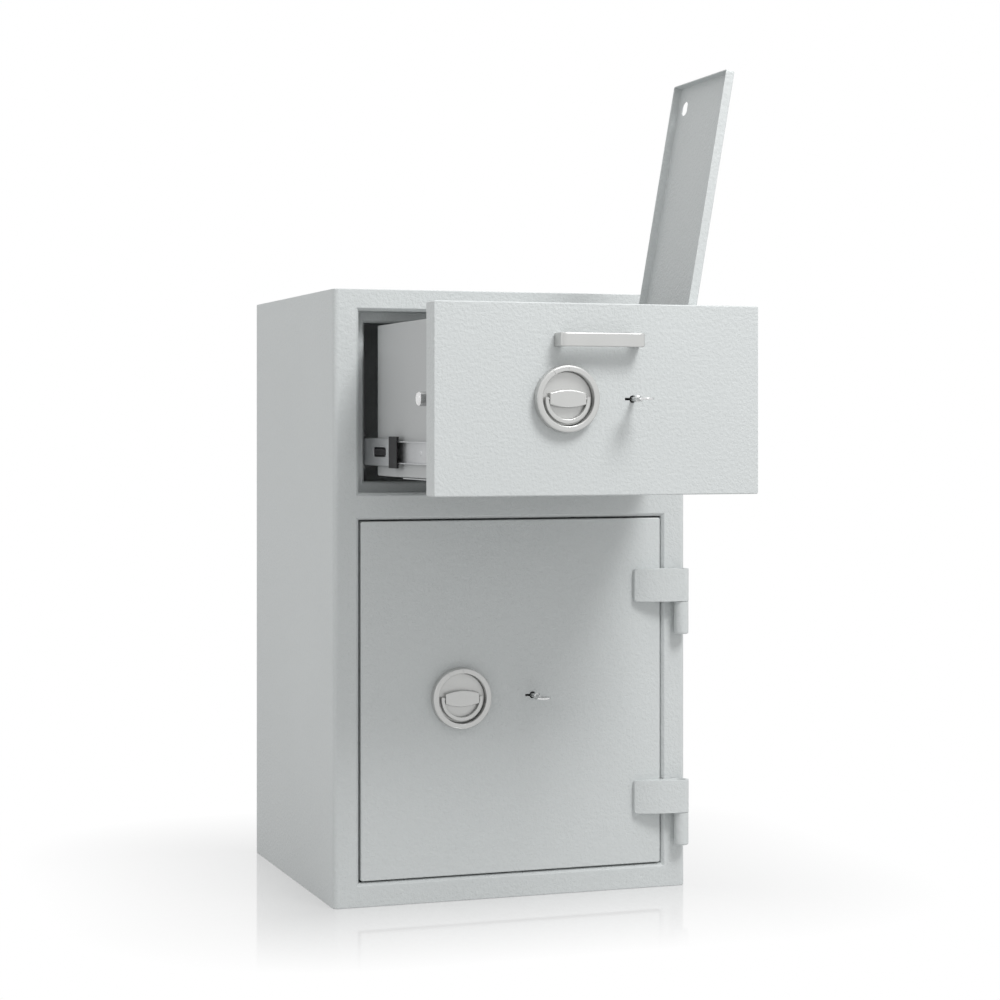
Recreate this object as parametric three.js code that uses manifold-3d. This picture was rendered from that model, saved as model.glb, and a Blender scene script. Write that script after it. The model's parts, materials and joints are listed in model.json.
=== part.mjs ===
// Drop safe with a deposit drawer: a steel cabinet with a hinged door below and a drawer above.
// Millimetres, +Z up, the front towards -Y, the origin in the middle of the base's underside.
// It is modelled as it stands open: drawer pulled out, its lid up, the door closed.
import * as THREE from 'three';
import { mergeVertices } from 'three/addons/utils/BufferGeometryUtils.js';
import { ConvexGeometry } from 'three/addons/geometries/ConvexGeometry.js';
import Module from 'manifold-3d';

const wasm = await Module();
wasm.setup();

// Driving dimensions of the cabinet
const cabinetWidth = 505;
const cabinetDepth = 440;
const cabinetHeight = 820;
const wallThickness = 27;
const frontEdgeRadius = 7;
const rearEdgeRadius = 3;

// Heights of the front, from the floor up: sill, door opening, middle rail, drawer opening, head
const sillHeight = 32;
const middleRailHeight = 35.8;
const drawerOpeningHeight = 241.5;
const headHeight = 29;
const doorOpeningHeight = cabinetHeight - sillHeight - middleRailHeight - drawerOpeningHeight - headHeight;

// Openings of the front: bevelled edge, straight jamb, then a lip that the bolts catch behind
const stileWidth = 35;
const openingWidth = cabinetWidth - 2 * stileWidth;
const bevelSize = 4;
const rebateDepth = 34;
const lipThickness = 9;
const sideLipWidth = 16.5;
const endLipWidth = 14.2;
const lipBevel = 3;

// Door and drawer fronts
const frontThickness = 30;
const doorGap = 2.4;
const drawerFrontGap = 3.2;
const drawerTravel = 315;
const lidAngle = 100;

// Clearances shared by the whole part
const seam = 0.3;
const runningGap = 0.4;
const overrun = 5;

const halfWidth = cabinetWidth / 2;
const frontFace = -cabinetDepth / 2;
const rearFace = cabinetDepth / 2;
const openingHalf = openingWidth / 2;
const lipHalf = openingHalf - sideLipWidth;
const rebateFace = frontFace + rebateDepth;
const lipBack = rebateFace + lipThickness;
const innerHalf = halfWidth - wallThickness;
const doorOpeningLow = sillHeight;
const doorOpeningHigh = sillHeight + doorOpeningHeight;
const drawerOpeningLow = doorOpeningHigh + middleRailHeight;
const drawerOpeningHigh = drawerOpeningLow + drawerOpeningHeight;

// The three views that outlines are drawn in: from the front (x, z), the side (y, z) and above (x, y)
const alongX = new THREE.Vector3(1, 0, 0);
const alongY = new THREE.Vector3(0, 1, 0);
const alongZ = new THREE.Vector3(0, 0, 1);
const views = {
  front: new THREE.Matrix4().makeBasis(alongX, alongZ, alongY.clone().negate()),
  side: new THREE.Matrix4().makeBasis(alongY, alongZ, alongX),
  plan: new THREE.Matrix4(),
};

// A closed geometry becomes a solid that can be joined and cut
function solidOf(geometry) {
  const bare = geometry.clone();
  bare.deleteAttribute('normal');
  bare.deleteAttribute('uv');
  const merged = mergeVertices(bare);
  const vertProperties = Float32Array.from(merged.attributes.position.array);
  const triVerts = Uint32Array.from(merged.index.array);
  const made = new wasm.Manifold(new wasm.Mesh({ numProp: 3, vertProperties, triVerts }));
  if (made.volume() > 0) {
    return made;
  }
  triVerts.reverse();
  return new wasm.Manifold(new wasm.Mesh({ numProp: 3, vertProperties, triVerts }));
}

// An outline drawn in one view and extruded between two places on that view's axis
function prism(view, outline, low, high, curveSegments = 6) {
  const geometry = new THREE.ExtrudeGeometry(outline, {
    depth: high - low,
    bevelEnabled: false,
    curveSegments,
  });
  geometry.translate(0, 0, view === 'front' ? -high : low);
  return solidOf(geometry.applyMatrix4(views[view]));
}

// The same with its edges rounded off at both ends
function roundedPrism(view, outline, low, high, edge, curveSegments = 6, edgeSegments = 2) {
  const geometry = new THREE.ExtrudeGeometry(outline, {
    depth: high - low - 2 * edge,
    bevelEnabled: true,
    bevelThickness: edge,
    bevelSize: edge,
    bevelOffset: -edge,
    bevelSegments: edgeSegments,
    curveSegments,
  });
  geometry.translate(0, 0, (view === 'front' ? -high : low) + edge);
  return solidOf(geometry.applyMatrix4(views[view]));
}

function block(x0, x1, y0, y1, z0, z1) {
  const geometry = new THREE.BoxGeometry(x1 - x0, y1 - y0, z1 - z0);
  return solidOf(geometry.translate((x0 + x1) / 2, (y0 + y1) / 2, (z0 + z1) / 2));
}

// A round bar along one axis; centre gives the two other coordinates
function rod(axis, radius, low, high, centre, sides = 20, endRadius = radius) {
  const geometry = new THREE.CylinderGeometry(endRadius, radius, high - low, sides);
  geometry.translate(0, (low + high) / 2, 0);
  if (axis === 'x') {
    geometry.applyMatrix4(new THREE.Matrix4().makeBasis(alongY, alongX, alongZ.clone().negate()));
    geometry.translate(0, centre[0], centre[1]);
  }
  if (axis === 'y') {
    geometry.translate(centre[0], 0, centre[1]);
  }
  if (axis === 'z') {
    geometry.applyMatrix4(new THREE.Matrix4().makeBasis(alongX, alongZ, alongY.clone().negate()));
    geometry.translate(centre[0], centre[1], 0);
  }
  return solidOf(geometry);
}

// A closed profile of radius and place, turned about an axis that runs along Y
function turned(profile, centre, segments = 36) {
  const points = profile.map(([radius, place]) => new THREE.Vector2(radius, place));
  points.push(points[0].clone());
  const geometry = new THREE.LatheGeometry(points, segments);
  return solidOf(geometry.translate(centre[0], 0, centre[1]));
}

function rectangle(x0, x1, y0, y1) {
  const outline = new THREE.Shape();
  outline.moveTo(x0, y0);
  outline.lineTo(x1, y0);
  outline.lineTo(x1, y1);
  outline.lineTo(x0, y1);
  outline.closePath();
  return outline;
}

function roundedRectangle(x0, x1, y0, y1, radius) {
  const outline = new THREE.Shape();
  outline.moveTo(x0 + radius, y0);
  outline.lineTo(x1 - radius, y0);
  outline.absarc(x1 - radius, y0 + radius, radius, -Math.PI / 2, 0, false);
  outline.lineTo(x1, y1 - radius);
  outline.absarc(x1 - radius, y1 - radius, radius, 0, Math.PI / 2, false);
  outline.lineTo(x0 + radius, y1);
  outline.absarc(x0 + radius, y1 - radius, radius, Math.PI / 2, Math.PI, false);
  outline.lineTo(x0, y0 + radius);
  outline.absarc(x0 + radius, y0 + radius, radius, Math.PI, Math.PI * 3 / 2, false);
  return outline;
}

// A rectangular funnel between two planes across Y: each mouth is [half width, low z, high z]
function funnel(nearY, near, farY, far) {
  const corners = [[nearY, near], [farY, far]].flatMap(([y, [half, low, high]]) =>
    [[-half, low], [half, low], [half, high], [-half, high]].map(([x, z]) => new THREE.Vector3(x, y, z)));
  return solidOf(new ConvexGeometry(corners));
}

// Paints and metals
function paint(color, roughness, metalness) {
  return new THREE.MeshStandardMaterial({ color, roughness, metalness });
}

const texturedGrey = paint(0xc9cecd, 0.62, 0);
const innerGrey = paint(0xb4b8b8, 0.6, 0);
const satinSilver = paint(0xc4c4c2, 0.38, 0.8);
const zincSteel = paint(0xa7abad, 0.42, 0.85);
const boltSteel = paint(0xc8cacb, 0.3, 0.9);
const blackPlastic = paint(0x17181a, 0.5, 0);

const model = new THREE.Group();

function place(name, solid, material, parent = model) {
  const { vertProperties, triVerts } = solid.getMesh();
  const geometry = new THREE.BufferGeometry();
  geometry.setAttribute('position', new THREE.BufferAttribute(vertProperties, 3));
  geometry.setIndex(new THREE.BufferAttribute(triVerts, 1));
  geometry.computeVertexNormals();
  const mesh = new THREE.Mesh(geometry, material);
  mesh.name = name;
  parent.add(mesh);
  return mesh;
}

function joined(solids) {
  return solids.reduce((whole, solid) => whole.add(solid));
}

// Front of the cabinet: one mitred frame with two bevelled and rebated openings, cut into its members
const railCut = 1;

function frontFrame() {
  const outline = new THREE.Shape();
  outline.moveTo(halfWidth, lipBack);
  outline.lineTo(-halfWidth, lipBack);
  outline.lineTo(-halfWidth, frontFace + frontEdgeRadius);
  outline.absarc(-halfWidth + frontEdgeRadius, frontFace + frontEdgeRadius, frontEdgeRadius,
    Math.PI, Math.PI * 3 / 2, false);
  outline.lineTo(halfWidth - frontEdgeRadius, frontFace);
  outline.absarc(halfWidth - frontEdgeRadius, frontFace + frontEdgeRadius, frontEdgeRadius,
    -Math.PI / 2, 0, false);
  outline.closePath();
  const frame = prism('plan', outline, 0, cabinetHeight);
  const openings = [[doorOpeningLow, doorOpeningHigh], [drawerOpeningLow, drawerOpeningHigh]];
  const cuts = openings.map(([low, high]) => {
    const jamb = block(-openingHalf, openingHalf, frontFace - overrun, rebateFace, low, high);
    const bevelled = funnel(
      frontFace - bevelSize, [openingHalf + 2 * bevelSize, low - 2 * bevelSize, high + 2 * bevelSize],
      frontFace + bevelSize, [openingHalf, low, high]);
    const throat = block(-lipHalf, lipHalf, rebateFace - overrun, lipBack + overrun,
      low + endLipWidth, high - endLipWidth);
    const lipEdge = funnel(
      rebateFace - lipBevel, [lipHalf + 2 * lipBevel, low + endLipWidth - 2 * lipBevel,
        high - endLipWidth + 2 * lipBevel],
      rebateFace + lipBevel, [lipHalf, low + endLipWidth, high - endLipWidth]);
    return joined([jamb, bevelled, throat, lipEdge]);
  });
  return frame.subtract(joined(cuts));
}

const frame = frontFrame();
const stileEdge = lipHalf - railCut;
const frameNear = frontFace - overrun;
const frameFar = lipBack + overrun;
const doorMiddle = (doorOpeningLow + doorOpeningHigh) / 2;
const drawerMiddle = (drawerOpeningLow + drawerOpeningHigh) / 2;

function frameMember(x0, x1, z0, z1) {
  return frame.intersect(block(x0, x1, frameNear, frameFar, z0, z1));
}

place('front_stile_left',
  frameMember(-halfWidth - overrun, -stileEdge, -overrun, cabinetHeight + overrun), texturedGrey);
place('front_stile_right',
  frameMember(stileEdge, halfWidth + overrun, -overrun, cabinetHeight + overrun), texturedGrey);
const railHalf = stileEdge - seam;
place('front_sill_rail', frameMember(-railHalf, railHalf, -overrun, doorMiddle), texturedGrey);
place('front_middle_rail', frameMember(-railHalf, railHalf, doorMiddle, drawerMiddle), texturedGrey);
place('front_head_rail',
  frameMember(-railHalf, railHalf, drawerMiddle, cabinetHeight + overrun), texturedGrey);

// Walls: double-skinned panels, open towards the front frame, with an anchor hole in the base
// and one in the back
const skinSheet = 2;
const anchorHoleRadius = 7;
const baseAnchorFromBack = 110;
const backAnchorHeight = 180;
const wallsFront = lipBack + seam;
const innerEdge = innerHalf - seam;
const backInner = rearFace - wallThickness;

function sideWall(side) {
  const outline = new THREE.Shape();
  outline.moveTo(side * innerHalf, wallsFront);
  outline.lineTo(side * halfWidth, wallsFront);
  outline.lineTo(side * halfWidth, rearFace - rearEdgeRadius);
  outline.quadraticCurveTo(side * halfWidth, rearFace, side * (halfWidth - rearEdgeRadius), rearFace);
  outline.lineTo(side * innerHalf, rearFace);
  outline.closePath();
  const near = side * (innerHalf + skinSheet);
  const far = side * (halfWidth - skinSheet);
  return prism('plan', outline, 0, cabinetHeight, 3)
    .subtract(block(Math.min(near, far), Math.max(near, far), wallsFront - overrun,
      rearFace - skinSheet, skinSheet, cabinetHeight - skinSheet));
}

function levelWall(low) {
  return block(-innerEdge, innerEdge, wallsFront, backInner - seam, low, low + wallThickness)
    .subtract(block(skinSheet - innerEdge, innerEdge - skinSheet, wallsFront - overrun,
      backInner - seam - skinSheet, low + skinSheet, low + wallThickness - skinSheet));
}

place('side_wall_left', sideWall(-1), texturedGrey);
place('side_wall_right', sideWall(1), texturedGrey);
place('roof_panel', levelWall(cabinetHeight - wallThickness), texturedGrey);
place('base_panel', levelWall(0).subtract(rod('z', anchorHoleRadius, -overrun,
  wallThickness + overrun, [0, rearFace - baseAnchorFromBack])), texturedGrey);
place('back_wall', block(-innerEdge, innerEdge, backInner, rearFace, 0, cabinetHeight)
  .subtract(block(skinSheet - innerEdge, innerEdge - skinSheet, backInner + skinSheet,
    rearFace - skinSheet, skinSheet, cabinetHeight - skinSheet))
  .subtract(rod('y', anchorHoleRadius, backInner - overrun, rearFace + overrun, [0, backAnchorHeight])),
texturedGrey);

// Drawer sizes that its surroundings also use
const trayWallGap = 10.5;
const trayHalf = lipHalf - trayWallGap;
const trayFloorGap = 8.4;
const trayTopGap = 5.4;
const traySheet = 1.5;
const trayLength = 290;
const drawerFrontBack = frontFace + frontThickness - drawerTravel;
const trayFloor = drawerOpeningLow + endLipWidth + trayFloorGap;
const trayTop = drawerOpeningHigh - endLipWidth - trayTopGap;
const boltworkDepth = 42;
const trapFrameRear = 175;
const trapHingeInset = 20;
const trapLength = 108;
const trapSideMargin = 34.5;
const trapHalf = trayHalf - trapSideMargin;
const trapHingeY = drawerFrontBack + trapFrameRear - trapHingeInset;

// Divider: a folded shelf under the drawer, with the drop opening and its turned-down collar
const dividerDrop = 8;
const dividerSheet = 2.5;
const dropMargin = 8;
const collarDepth = 22;
const dividerTop = drawerOpeningLow + endLipWidth - dividerDrop;
const dividerUnder = dividerTop - wallThickness;
const dropRear = trapHingeY + drawerTravel + dropMargin;
const dropFront = trapHingeY + drawerTravel - trapLength - dropMargin;
const dropHalf = trapHalf + dropMargin;

function divider() {
  const shelfRear = backInner - seam;
  const shelf = block(-innerEdge, innerEdge, wallsFront, shelfRear, dividerUnder, dividerTop)
    .subtract(block(dividerSheet - innerEdge, innerEdge - dividerSheet, wallsFront + dividerSheet,
      shelfRear - dividerSheet, dividerUnder - overrun, dividerTop - dividerSheet));
  const collar = block(-dropHalf - dividerSheet, dropHalf + dividerSheet, dropFront - dividerSheet,
    dropRear + dividerSheet, dividerUnder - collarDepth, dividerTop);
  const drop = block(-dropHalf, dropHalf, dropFront, dropRear,
    dividerUnder - collarDepth - overrun, dividerTop + overrun);
  return shelf.add(collar).subtract(drop);
}

place('divider_shelf', divider(), innerGrey);

// Ball slides, one a side: nested channels with ball cages between them
const slideLength = 300;
const slideSheet = 1.2;
const slideCentreAboveFloor = 32;
const slideBend = 2.4;
const cabinetMemberHalf = 22.5;
const middleMemberHalf = 18.5;
const drawerMemberHalf = 14.35;
const memberReach = 6.9;
const webGap = 1;
const lipClearance = 0.6;
const bracketSheet = 2;
const bracketHalf = 25;
const bumperLength = 36;
const bumperHalf = 20.5;
const bumperGap = 0.55;
const windowStart = 48;
const windowLength = 57;
const windowHalf = 6.5;
const leverHalf = 4.5;
const leverStartShare = 0.1737;
const leverEndShare = 0.6432;
const screwRadius = 2.9;
const screwHeight = 1.2;
const slideZ = trayFloor + slideCentreAboveFloor;
const stageTravel = drawerTravel / 2;
const slideFront = lipBack + 2 * seam;
const middleWebOuter = lipHalf - lipClearance;
const cabinetWebInner = middleWebOuter + webGap;

// A channel's section: web at one place across x, flanges reaching to another
function channel(side, web, flange, half, low, high) {
  const way = Math.sign(flange - web);
  const outline = new THREE.Shape();
  const at = (x, z) => [side * x, slideZ + z];
  outline.moveTo(...at(flange, half));
  outline.lineTo(...at(web + way * slideBend, half));
  outline.quadraticCurveTo(...at(web, half), ...at(web, half - slideBend));
  outline.lineTo(...at(web, slideBend - half));
  outline.quadraticCurveTo(...at(web, -half), ...at(web + way * slideBend, -half));
  outline.lineTo(...at(flange, -half));
  outline.lineTo(...at(flange, slideSheet - half));
  outline.lineTo(...at(web + way * slideBend, slideSheet - half));
  outline.quadraticCurveTo(...at(web + way * slideSheet, slideSheet - half),
    ...at(web + way * slideSheet, slideBend - half));
  outline.lineTo(...at(web + way * slideSheet, half - slideBend));
  outline.quadraticCurveTo(...at(web + way * slideSheet, half - slideSheet),
    ...at(web + way * slideBend, half - slideSheet));
  outline.lineTo(...at(flange, half - slideSheet));
  outline.closePath();
  return prism('front', outline, low, high, 2);
}

// The outer member is welded to a folded bracket that stands it off the wall
function slideBracket(side) {
  const web = cabinetWebInner + slideSheet / 2;
  const wall = innerHalf - seam;
  const outline = new THREE.Shape();
  const at = (x, z) => [side * x, slideZ + z];
  outline.moveTo(...at(wall, bracketHalf));
  outline.lineTo(...at(web, bracketHalf));
  outline.lineTo(...at(web, -bracketHalf));
  outline.lineTo(...at(wall, -bracketHalf));
  outline.lineTo(...at(wall, bracketSheet - bracketHalf));
  outline.lineTo(...at(web + slideSheet / 2 + bracketSheet, bracketSheet - bracketHalf));
  outline.lineTo(...at(web + slideSheet / 2 + bracketSheet, bracketHalf - bracketSheet));
  outline.lineTo(...at(wall, bracketHalf - bracketSheet));
  outline.closePath();
  return prism('front', outline, slideFront, slideFront + slideLength);
}

const middleFront = slideFront - stageTravel;
const drawerMemberFront = slideFront - drawerTravel;
const overlapFront = middleFront + bumperLength;
const overlapLength = drawerMemberFront + slideLength - overlapFront;
const middleFlange = middleWebOuter - memberReach;
const drawerMemberWeb = trayHalf + seam;

function cabinetMember(side) {
  const web = cabinetWebInner + slideSheet;
  return channel(side, web, web - memberReach, cabinetMemberHalf, slideFront, slideFront + slideLength)
    .add(slideBracket(side));
}

function middleMember(side) {
  const member = channel(side, middleWebOuter, middleFlange, middleMemberHalf,
    middleFront + bumperLength + seam, middleFront + slideLength);
  const opening = roundedRectangle(middleFront + windowStart, middleFront + windowStart + windowLength,
    slideZ - windowHalf, slideZ + windowHalf, windowHalf * 0.9);
  const near = side * (middleWebOuter + overrun);
  const far = side * (middleWebOuter - slideSheet - seam);
  return member.subtract(prism('side', opening, Math.min(near, far), Math.max(near, far), 4));
}

// A plastic end piece closes the front of the middle member and stops it at the cabinet's member
function bumper(side) {
  const inner = drawerMemberHalf + bumperGap;
  const outline = new THREE.Shape();
  const at = (x, z) => [side * x, slideZ + z];
  outline.moveTo(...at(middleWebOuter, bumperHalf));
  outline.lineTo(...at(middleFlange, bumperHalf));
  outline.lineTo(...at(middleFlange, inner));
  outline.lineTo(...at(middleWebOuter - slideSheet, inner));
  outline.lineTo(...at(middleWebOuter - slideSheet, -inner));
  outline.lineTo(...at(middleFlange, -inner));
  outline.lineTo(...at(middleFlange, -bumperHalf));
  outline.lineTo(...at(middleWebOuter, -bumperHalf));
  outline.closePath();
  return prism('front', outline, middleFront, middleFront + bumperLength);
}

function drawerMember(side) {
  return channel(side, drawerMemberWeb, drawerMemberWeb + memberReach, drawerMemberHalf,
    drawerMemberFront, drawerMemberFront + slideLength);
}

function releaseLever(side) {
  const front = overlapFront + overlapLength * leverStartShare;
  const rear = overlapFront + overlapLength * leverEndShare;
  const shoulder = front + (rear - front) * 0.3;
  const outline = new THREE.Shape();
  outline.moveTo(rear, slideZ - leverHalf);
  outline.lineTo(rear, slideZ + leverHalf);
  outline.lineTo(shoulder, slideZ + leverHalf);
  outline.quadraticCurveTo(front, slideZ + leverHalf, front, slideZ);
  outline.quadraticCurveTo(front, slideZ - leverHalf, shoulder, slideZ - leverHalf);
  outline.closePath();
  const web = side * (drawerMemberWeb + slideSheet + seam);
  const face = side * (middleWebOuter - slideSheet - runningGap);
  return prism('side', outline, Math.min(web, face), Math.max(web, face), 4);
}

// A ball cage: strips above and below, a thin bridge at its front end, and a row of balls in each strip
const outerCageMargin = 11.25;
const innerCageShare = 0.845;
const cageSheet = 1;
const cageWebSheet = 0.4;
const cageBridge = 5;
const ballsPerStrip = 3;
const ballGap = 0.3;

function ballCage(side, innerZ, outerZ, webX, centreY, length) {
  const middle = (innerZ + outerZ) / 2;
  const ballRadius = (outerZ - innerZ) / 2 - ballGap;
  const front = centreY - length / 2;
  const inner = side * (middleFlange + webGap);
  const outer = side * (webX + cageWebSheet);
  const web = side * webX;
  const solids = [block(Math.min(web, outer), Math.max(web, outer), front, front + cageBridge,
    slideZ - middle, slideZ + middle)];
  for (const half of [-1, 1]) {
    const z = slideZ + half * middle;
    solids.push(block(Math.min(inner, outer), Math.max(inner, outer), front, front + length,
      z - cageSheet / 2, z + cageSheet / 2));
    for (let n = 0; n < ballsPerStrip; n += 1) {
      const y = front + length * (n + 0.5) / ballsPerStrip;
      const ball = new THREE.SphereGeometry(ballRadius, 6, 3).translate((inner + outer) / 2, y, z);
      solids.push(solidOf(ball));
    }
  }
  return joined(solids);
}

function outerCage(side) {
  const rear = middleFront + slideLength;
  return ballCage(side, middleMemberHalf, cabinetMemberHalf - slideSheet, middleWebOuter + seam,
    (slideFront + rear) / 2, rear - slideFront - 2 * outerCageMargin);
}

function innerCage(side) {
  return ballCage(side, drawerMemberHalf, middleMemberHalf - slideSheet,
    middleWebOuter - slideSheet - seam - 2 * cageWebSheet, overlapFront + overlapLength / 2,
    overlapLength * innerCageShare);
}

place('slide_cabinet_member_left', cabinetMember(-1), zincSteel);
place('slide_cabinet_member_right', cabinetMember(1), zincSteel);
place('slide_outer_cage_left', outerCage(-1), zincSteel);
place('slide_outer_cage_right', outerCage(1), zincSteel);
place('slide_middle_member_left', middleMember(-1), zincSteel);
place('slide_middle_member_right', middleMember(1), zincSteel);
place('slide_bumper_left', bumper(-1), blackPlastic);
place('slide_bumper_right', bumper(1), blackPlastic);
place('slide_inner_cage_left', innerCage(-1), zincSteel);
place('slide_inner_cage_right', innerCage(1), zincSteel);
place('slide_drawer_member_left', drawerMember(-1), zincSteel);
place('slide_drawer_member_right', drawerMember(1), zincSteel);
place('slide_lever_left', releaseLever(-1), blackPlastic);
place('slide_lever_right', releaseLever(1), blackPlastic);

// Lockwork shared by the door and the drawer, in places counted from the back of the front
// (depths) and from the knob's axis. The knob turns between the two marks on its ring.
const knobTurn = 30;
const leverRadius = 36;
const leverWidth = 16;
const leverSheet = 4;
const leverDepth = 9;
const leverPinRadius = 3.5;
const leverPinEnd = 28;
const spindleRadius = 6;
const spindleHoleRadius = 7;
const barDepth = 21;
const barSheet = 4;
const barHeight = 24;
const pinSlotPlay = 0.4;
const boltRadius = 9;
const boltChamfer = 1.5;
const boltLength = 60;
const boltTongue = 18;
const boltHoleGap = 0.8;
const boltStroke = 2 * leverRadius * Math.sin(THREE.MathUtils.degToRad(knobTurn / 2));
const boltDepth = barDepth + barSheet / 2;
const guideWidth = 12;
const guideHeight = 28;
const studRadius = 4;
const lockBoltHalf = 5;
const lockBoltDepth = 20;
const lockBoltSheet = 6;
const lockBoltRise = 7;
const lockNotchGap = 1.4;
const lockCaseHalf = 40;
const lockCaseBelow = 44;
const lockCaseAbove = 22;
const lockCaseDepth = 28;
const lockCaseCorner = 3;
const curtainRadius = 11.5;
const curtainSheet = 5;
const curtainGap = 0.4;
const keyholeRadius = 4.7;
const keyholeHalf = 10.5;
const keyholeSlotHalf = 1.5;
const keyGap = 0.4;
const keyStemRadius = 3;
const keyReach = 50;
const keyBitStart = 8;
const keyBitLength = 8;
const keyTip = 17;
const cavityDepth = keyTip + seam;
const bowHalf = 11;
const bowLength = 26;
const bowHalfSheet = 1.3;
const bowHoleRadius = 4.2;
const drawerKeyDistance = 89;
const doorKeyDistance = 103.5;

function keyholeOutline(x, z, gap) {
  const round = new THREE.Shape();
  round.absarc(x, z, keyholeRadius - gap, 0, Math.PI * 2, false);
  return [round, rectangle(x - keyholeHalf + gap, x + keyholeHalf - gap,
    z - keyholeSlotHalf + gap, z + keyholeSlotHalf - gap)];
}

function keyholeCut(x, z, low, high) {
  return joined(keyholeOutline(x, z, 0).map((outline) => prism('front', outline, low, high, 6)));
}

// Both fronts carry the same set: ring handle, spindle, bars, bolts, lock and key
function lockSet(knobX, knobZ, back, keyDistance) {
  const lean = THREE.MathUtils.degToRad(knobTurn / 2);
  const swing = leverRadius * Math.sin(lean);
  const rise = leverRadius * Math.cos(lean);
  const keyX = knobX + keyDistance;
  const caseTop = knobZ + lockCaseAbove;
  const barLow = caseTop + runningGap;
  const pinPlaces = { top: [knobX + swing, knobZ + rise], bottom: [knobX - swing, knobZ - rise] };

  function spindle(face, ends) {
    const solids = [rod('y', spindleRadius, face, back + leverDepth + leverSheet, [knobX, knobZ])];
    for (const end of ends) {
      const [x, z] = pinPlaces[end];
      const along = new THREE.Vector2(x - knobX, z - knobZ).normalize();
      const across = new THREE.Vector2(-along.y, along.x).multiplyScalar(leverWidth / 2);
      const arm = new THREE.Shape();
      arm.moveTo(knobX + across.x, knobZ + across.y);
      arm.lineTo(knobX - across.x, knobZ - across.y);
      arm.lineTo(x - across.x, z - across.y);
      const angle = Math.atan2(-across.y, -across.x);
      arm.absarc(x, z, leverWidth / 2, angle, angle + Math.PI, false);
      arm.closePath();
      solids.push(prism('front', arm, back + leverDepth, back + leverDepth + leverSheet));
      solids.push(rod('y', leverPinRadius, back + leverDepth, back + leverPinEnd, [x, z], 16));
    }
    solids.push(rod('y', leverWidth / 2, back + leverDepth, back + leverDepth + leverSheet,
      [knobX, knobZ]));
    return joined(solids);
  }

  // The slot lets the lever's pin rise by the height of its arc
  function pinSlot(end) {
    const [x, z] = pinPlaces[end];
    const half = leverPinRadius + pinSlotPlay;
    const crown = (end === 'top' ? 1 : -1) * (leverRadius - rise);
    const low = Math.min(z, z + crown) - half;
    const high = Math.max(z, z + crown) + half;
    return prism('front', roundedRectangle(x - half, x + half, low, high, half * 0.9),
      back + barDepth - overrun, back + barDepth + barSheet + overrun, 3);
  }

  function barPlate(outline) {
    return prism('front', outline, back + barDepth, back + barDepth + barSheet);
  }

  // The lock's bolt rises into one of two notches, so the bolts can be held out or in
  function lockNotches(way) {
    const half = lockBoltHalf + lockNotchGap;
    return joined([0, way * boltStroke].map((shift) => block(keyX + shift - half, keyX + shift + half,
      back + barDepth - overrun, back + barDepth + barSheet + overrun,
      barLow - overrun, barLow + lockBoltRise + lockNotchGap)));
  }

  // A round bolt along x: its tip points to the given side, its rear end is welded to the bar
  function bolt(side, tip, z) {
    const centre = [back + boltDepth, z];
    const tipX = side * tip;
    const neck = side * (tip - boltChamfer);
    const rear = side * (tip - boltLength);
    const body = rod('x', boltRadius, Math.min(neck, rear), Math.max(neck, rear), centre);
    const nose = side > 0
      ? rod('x', boltRadius, neck, tipX, centre, 20, boltRadius - boltChamfer)
      : rod('x', boltRadius - boltChamfer, tipX, neck, centre, 20, boltRadius);
    return body.add(nose);
  }

  function boltGuide(side, edge, z) {
    const near = side * edge;
    const far = side * (edge - guideWidth);
    const body = block(Math.min(near, far), Math.max(near, far), back - seam,
      back + boltDepth + boltRadius + boltHoleGap, z - guideHeight / 2, z + guideHeight / 2);
    const bore = rod('x', boltRadius + boltHoleGap / 2, Math.min(near, far) - overrun,
      Math.max(near, far) + overrun, [back + boltDepth, z]);
    const open = block(Math.min(near, far) - overrun, Math.max(near, far) + overrun,
      back + boltDepth, back + boltDepth + boltRadius + overrun,
      z - boltRadius - boltHoleGap / 2, z + boltRadius + boltHoleGap / 2);
    return body.subtract(bore).subtract(open);
  }

  // A shouldered stud stands on the plate and carries a bar through a long slot
  function stud(x, z) {
    return rod('y', studRadius, back - seam, back + barDepth + 2 * barSheet, [x, z], 12)
      .add(rod('y', studRadius + barSheet / 2, back - seam, back + barDepth - seam, [x, z], 12));
  }

  function studSlot(x, z, way) {
    const half = studRadius + pinSlotPlay;
    const far = x - way * boltStroke;
    const outline = roundedRectangle(Math.min(x, far) - half, Math.max(x, far) + half,
      z - half, z + half, half * 0.9);
    return prism('front', outline, back + barDepth - overrun, back + barDepth + barSheet + overrun, 3);
  }

  function lockCase() {
    const outline = roundedRectangle(keyX - lockCaseHalf, keyX + lockCaseHalf,
      knobZ - lockCaseBelow, caseTop, lockCaseCorner);
    const body = prism('front', outline, back + seam, back + lockCaseDepth, 3);
    const cavity = rod('y', curtainRadius + curtainGap, back - overrun, back + cavityDepth,
      [keyX, knobZ], 32);
    const half = lockBoltHalf + runningGap;
    const track = block(keyX - half, keyX + half, back + lockBoltDepth - runningGap,
      back + lockBoltDepth + lockBoltSheet + runningGap, knobZ - lockCaseAbove, caseTop + overrun);
    return body.subtract(cavity).subtract(track);
  }

  function lockBolt() {
    return block(keyX - lockBoltHalf, keyX + lockBoltHalf, back + lockBoltDepth,
      back + lockBoltDepth + lockBoltSheet, knobZ - lockCaseAbove + runningGap,
      barLow - runningGap / 2);
  }

  function curtain() {
    const disc = rod('y', curtainRadius, back + 2 * seam, back + 2 * seam + curtainSheet,
      [keyX, knobZ], 32);
    return disc.subtract(keyholeCut(keyX, knobZ, back - overrun, back + curtainSheet + overrun));
  }

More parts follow.
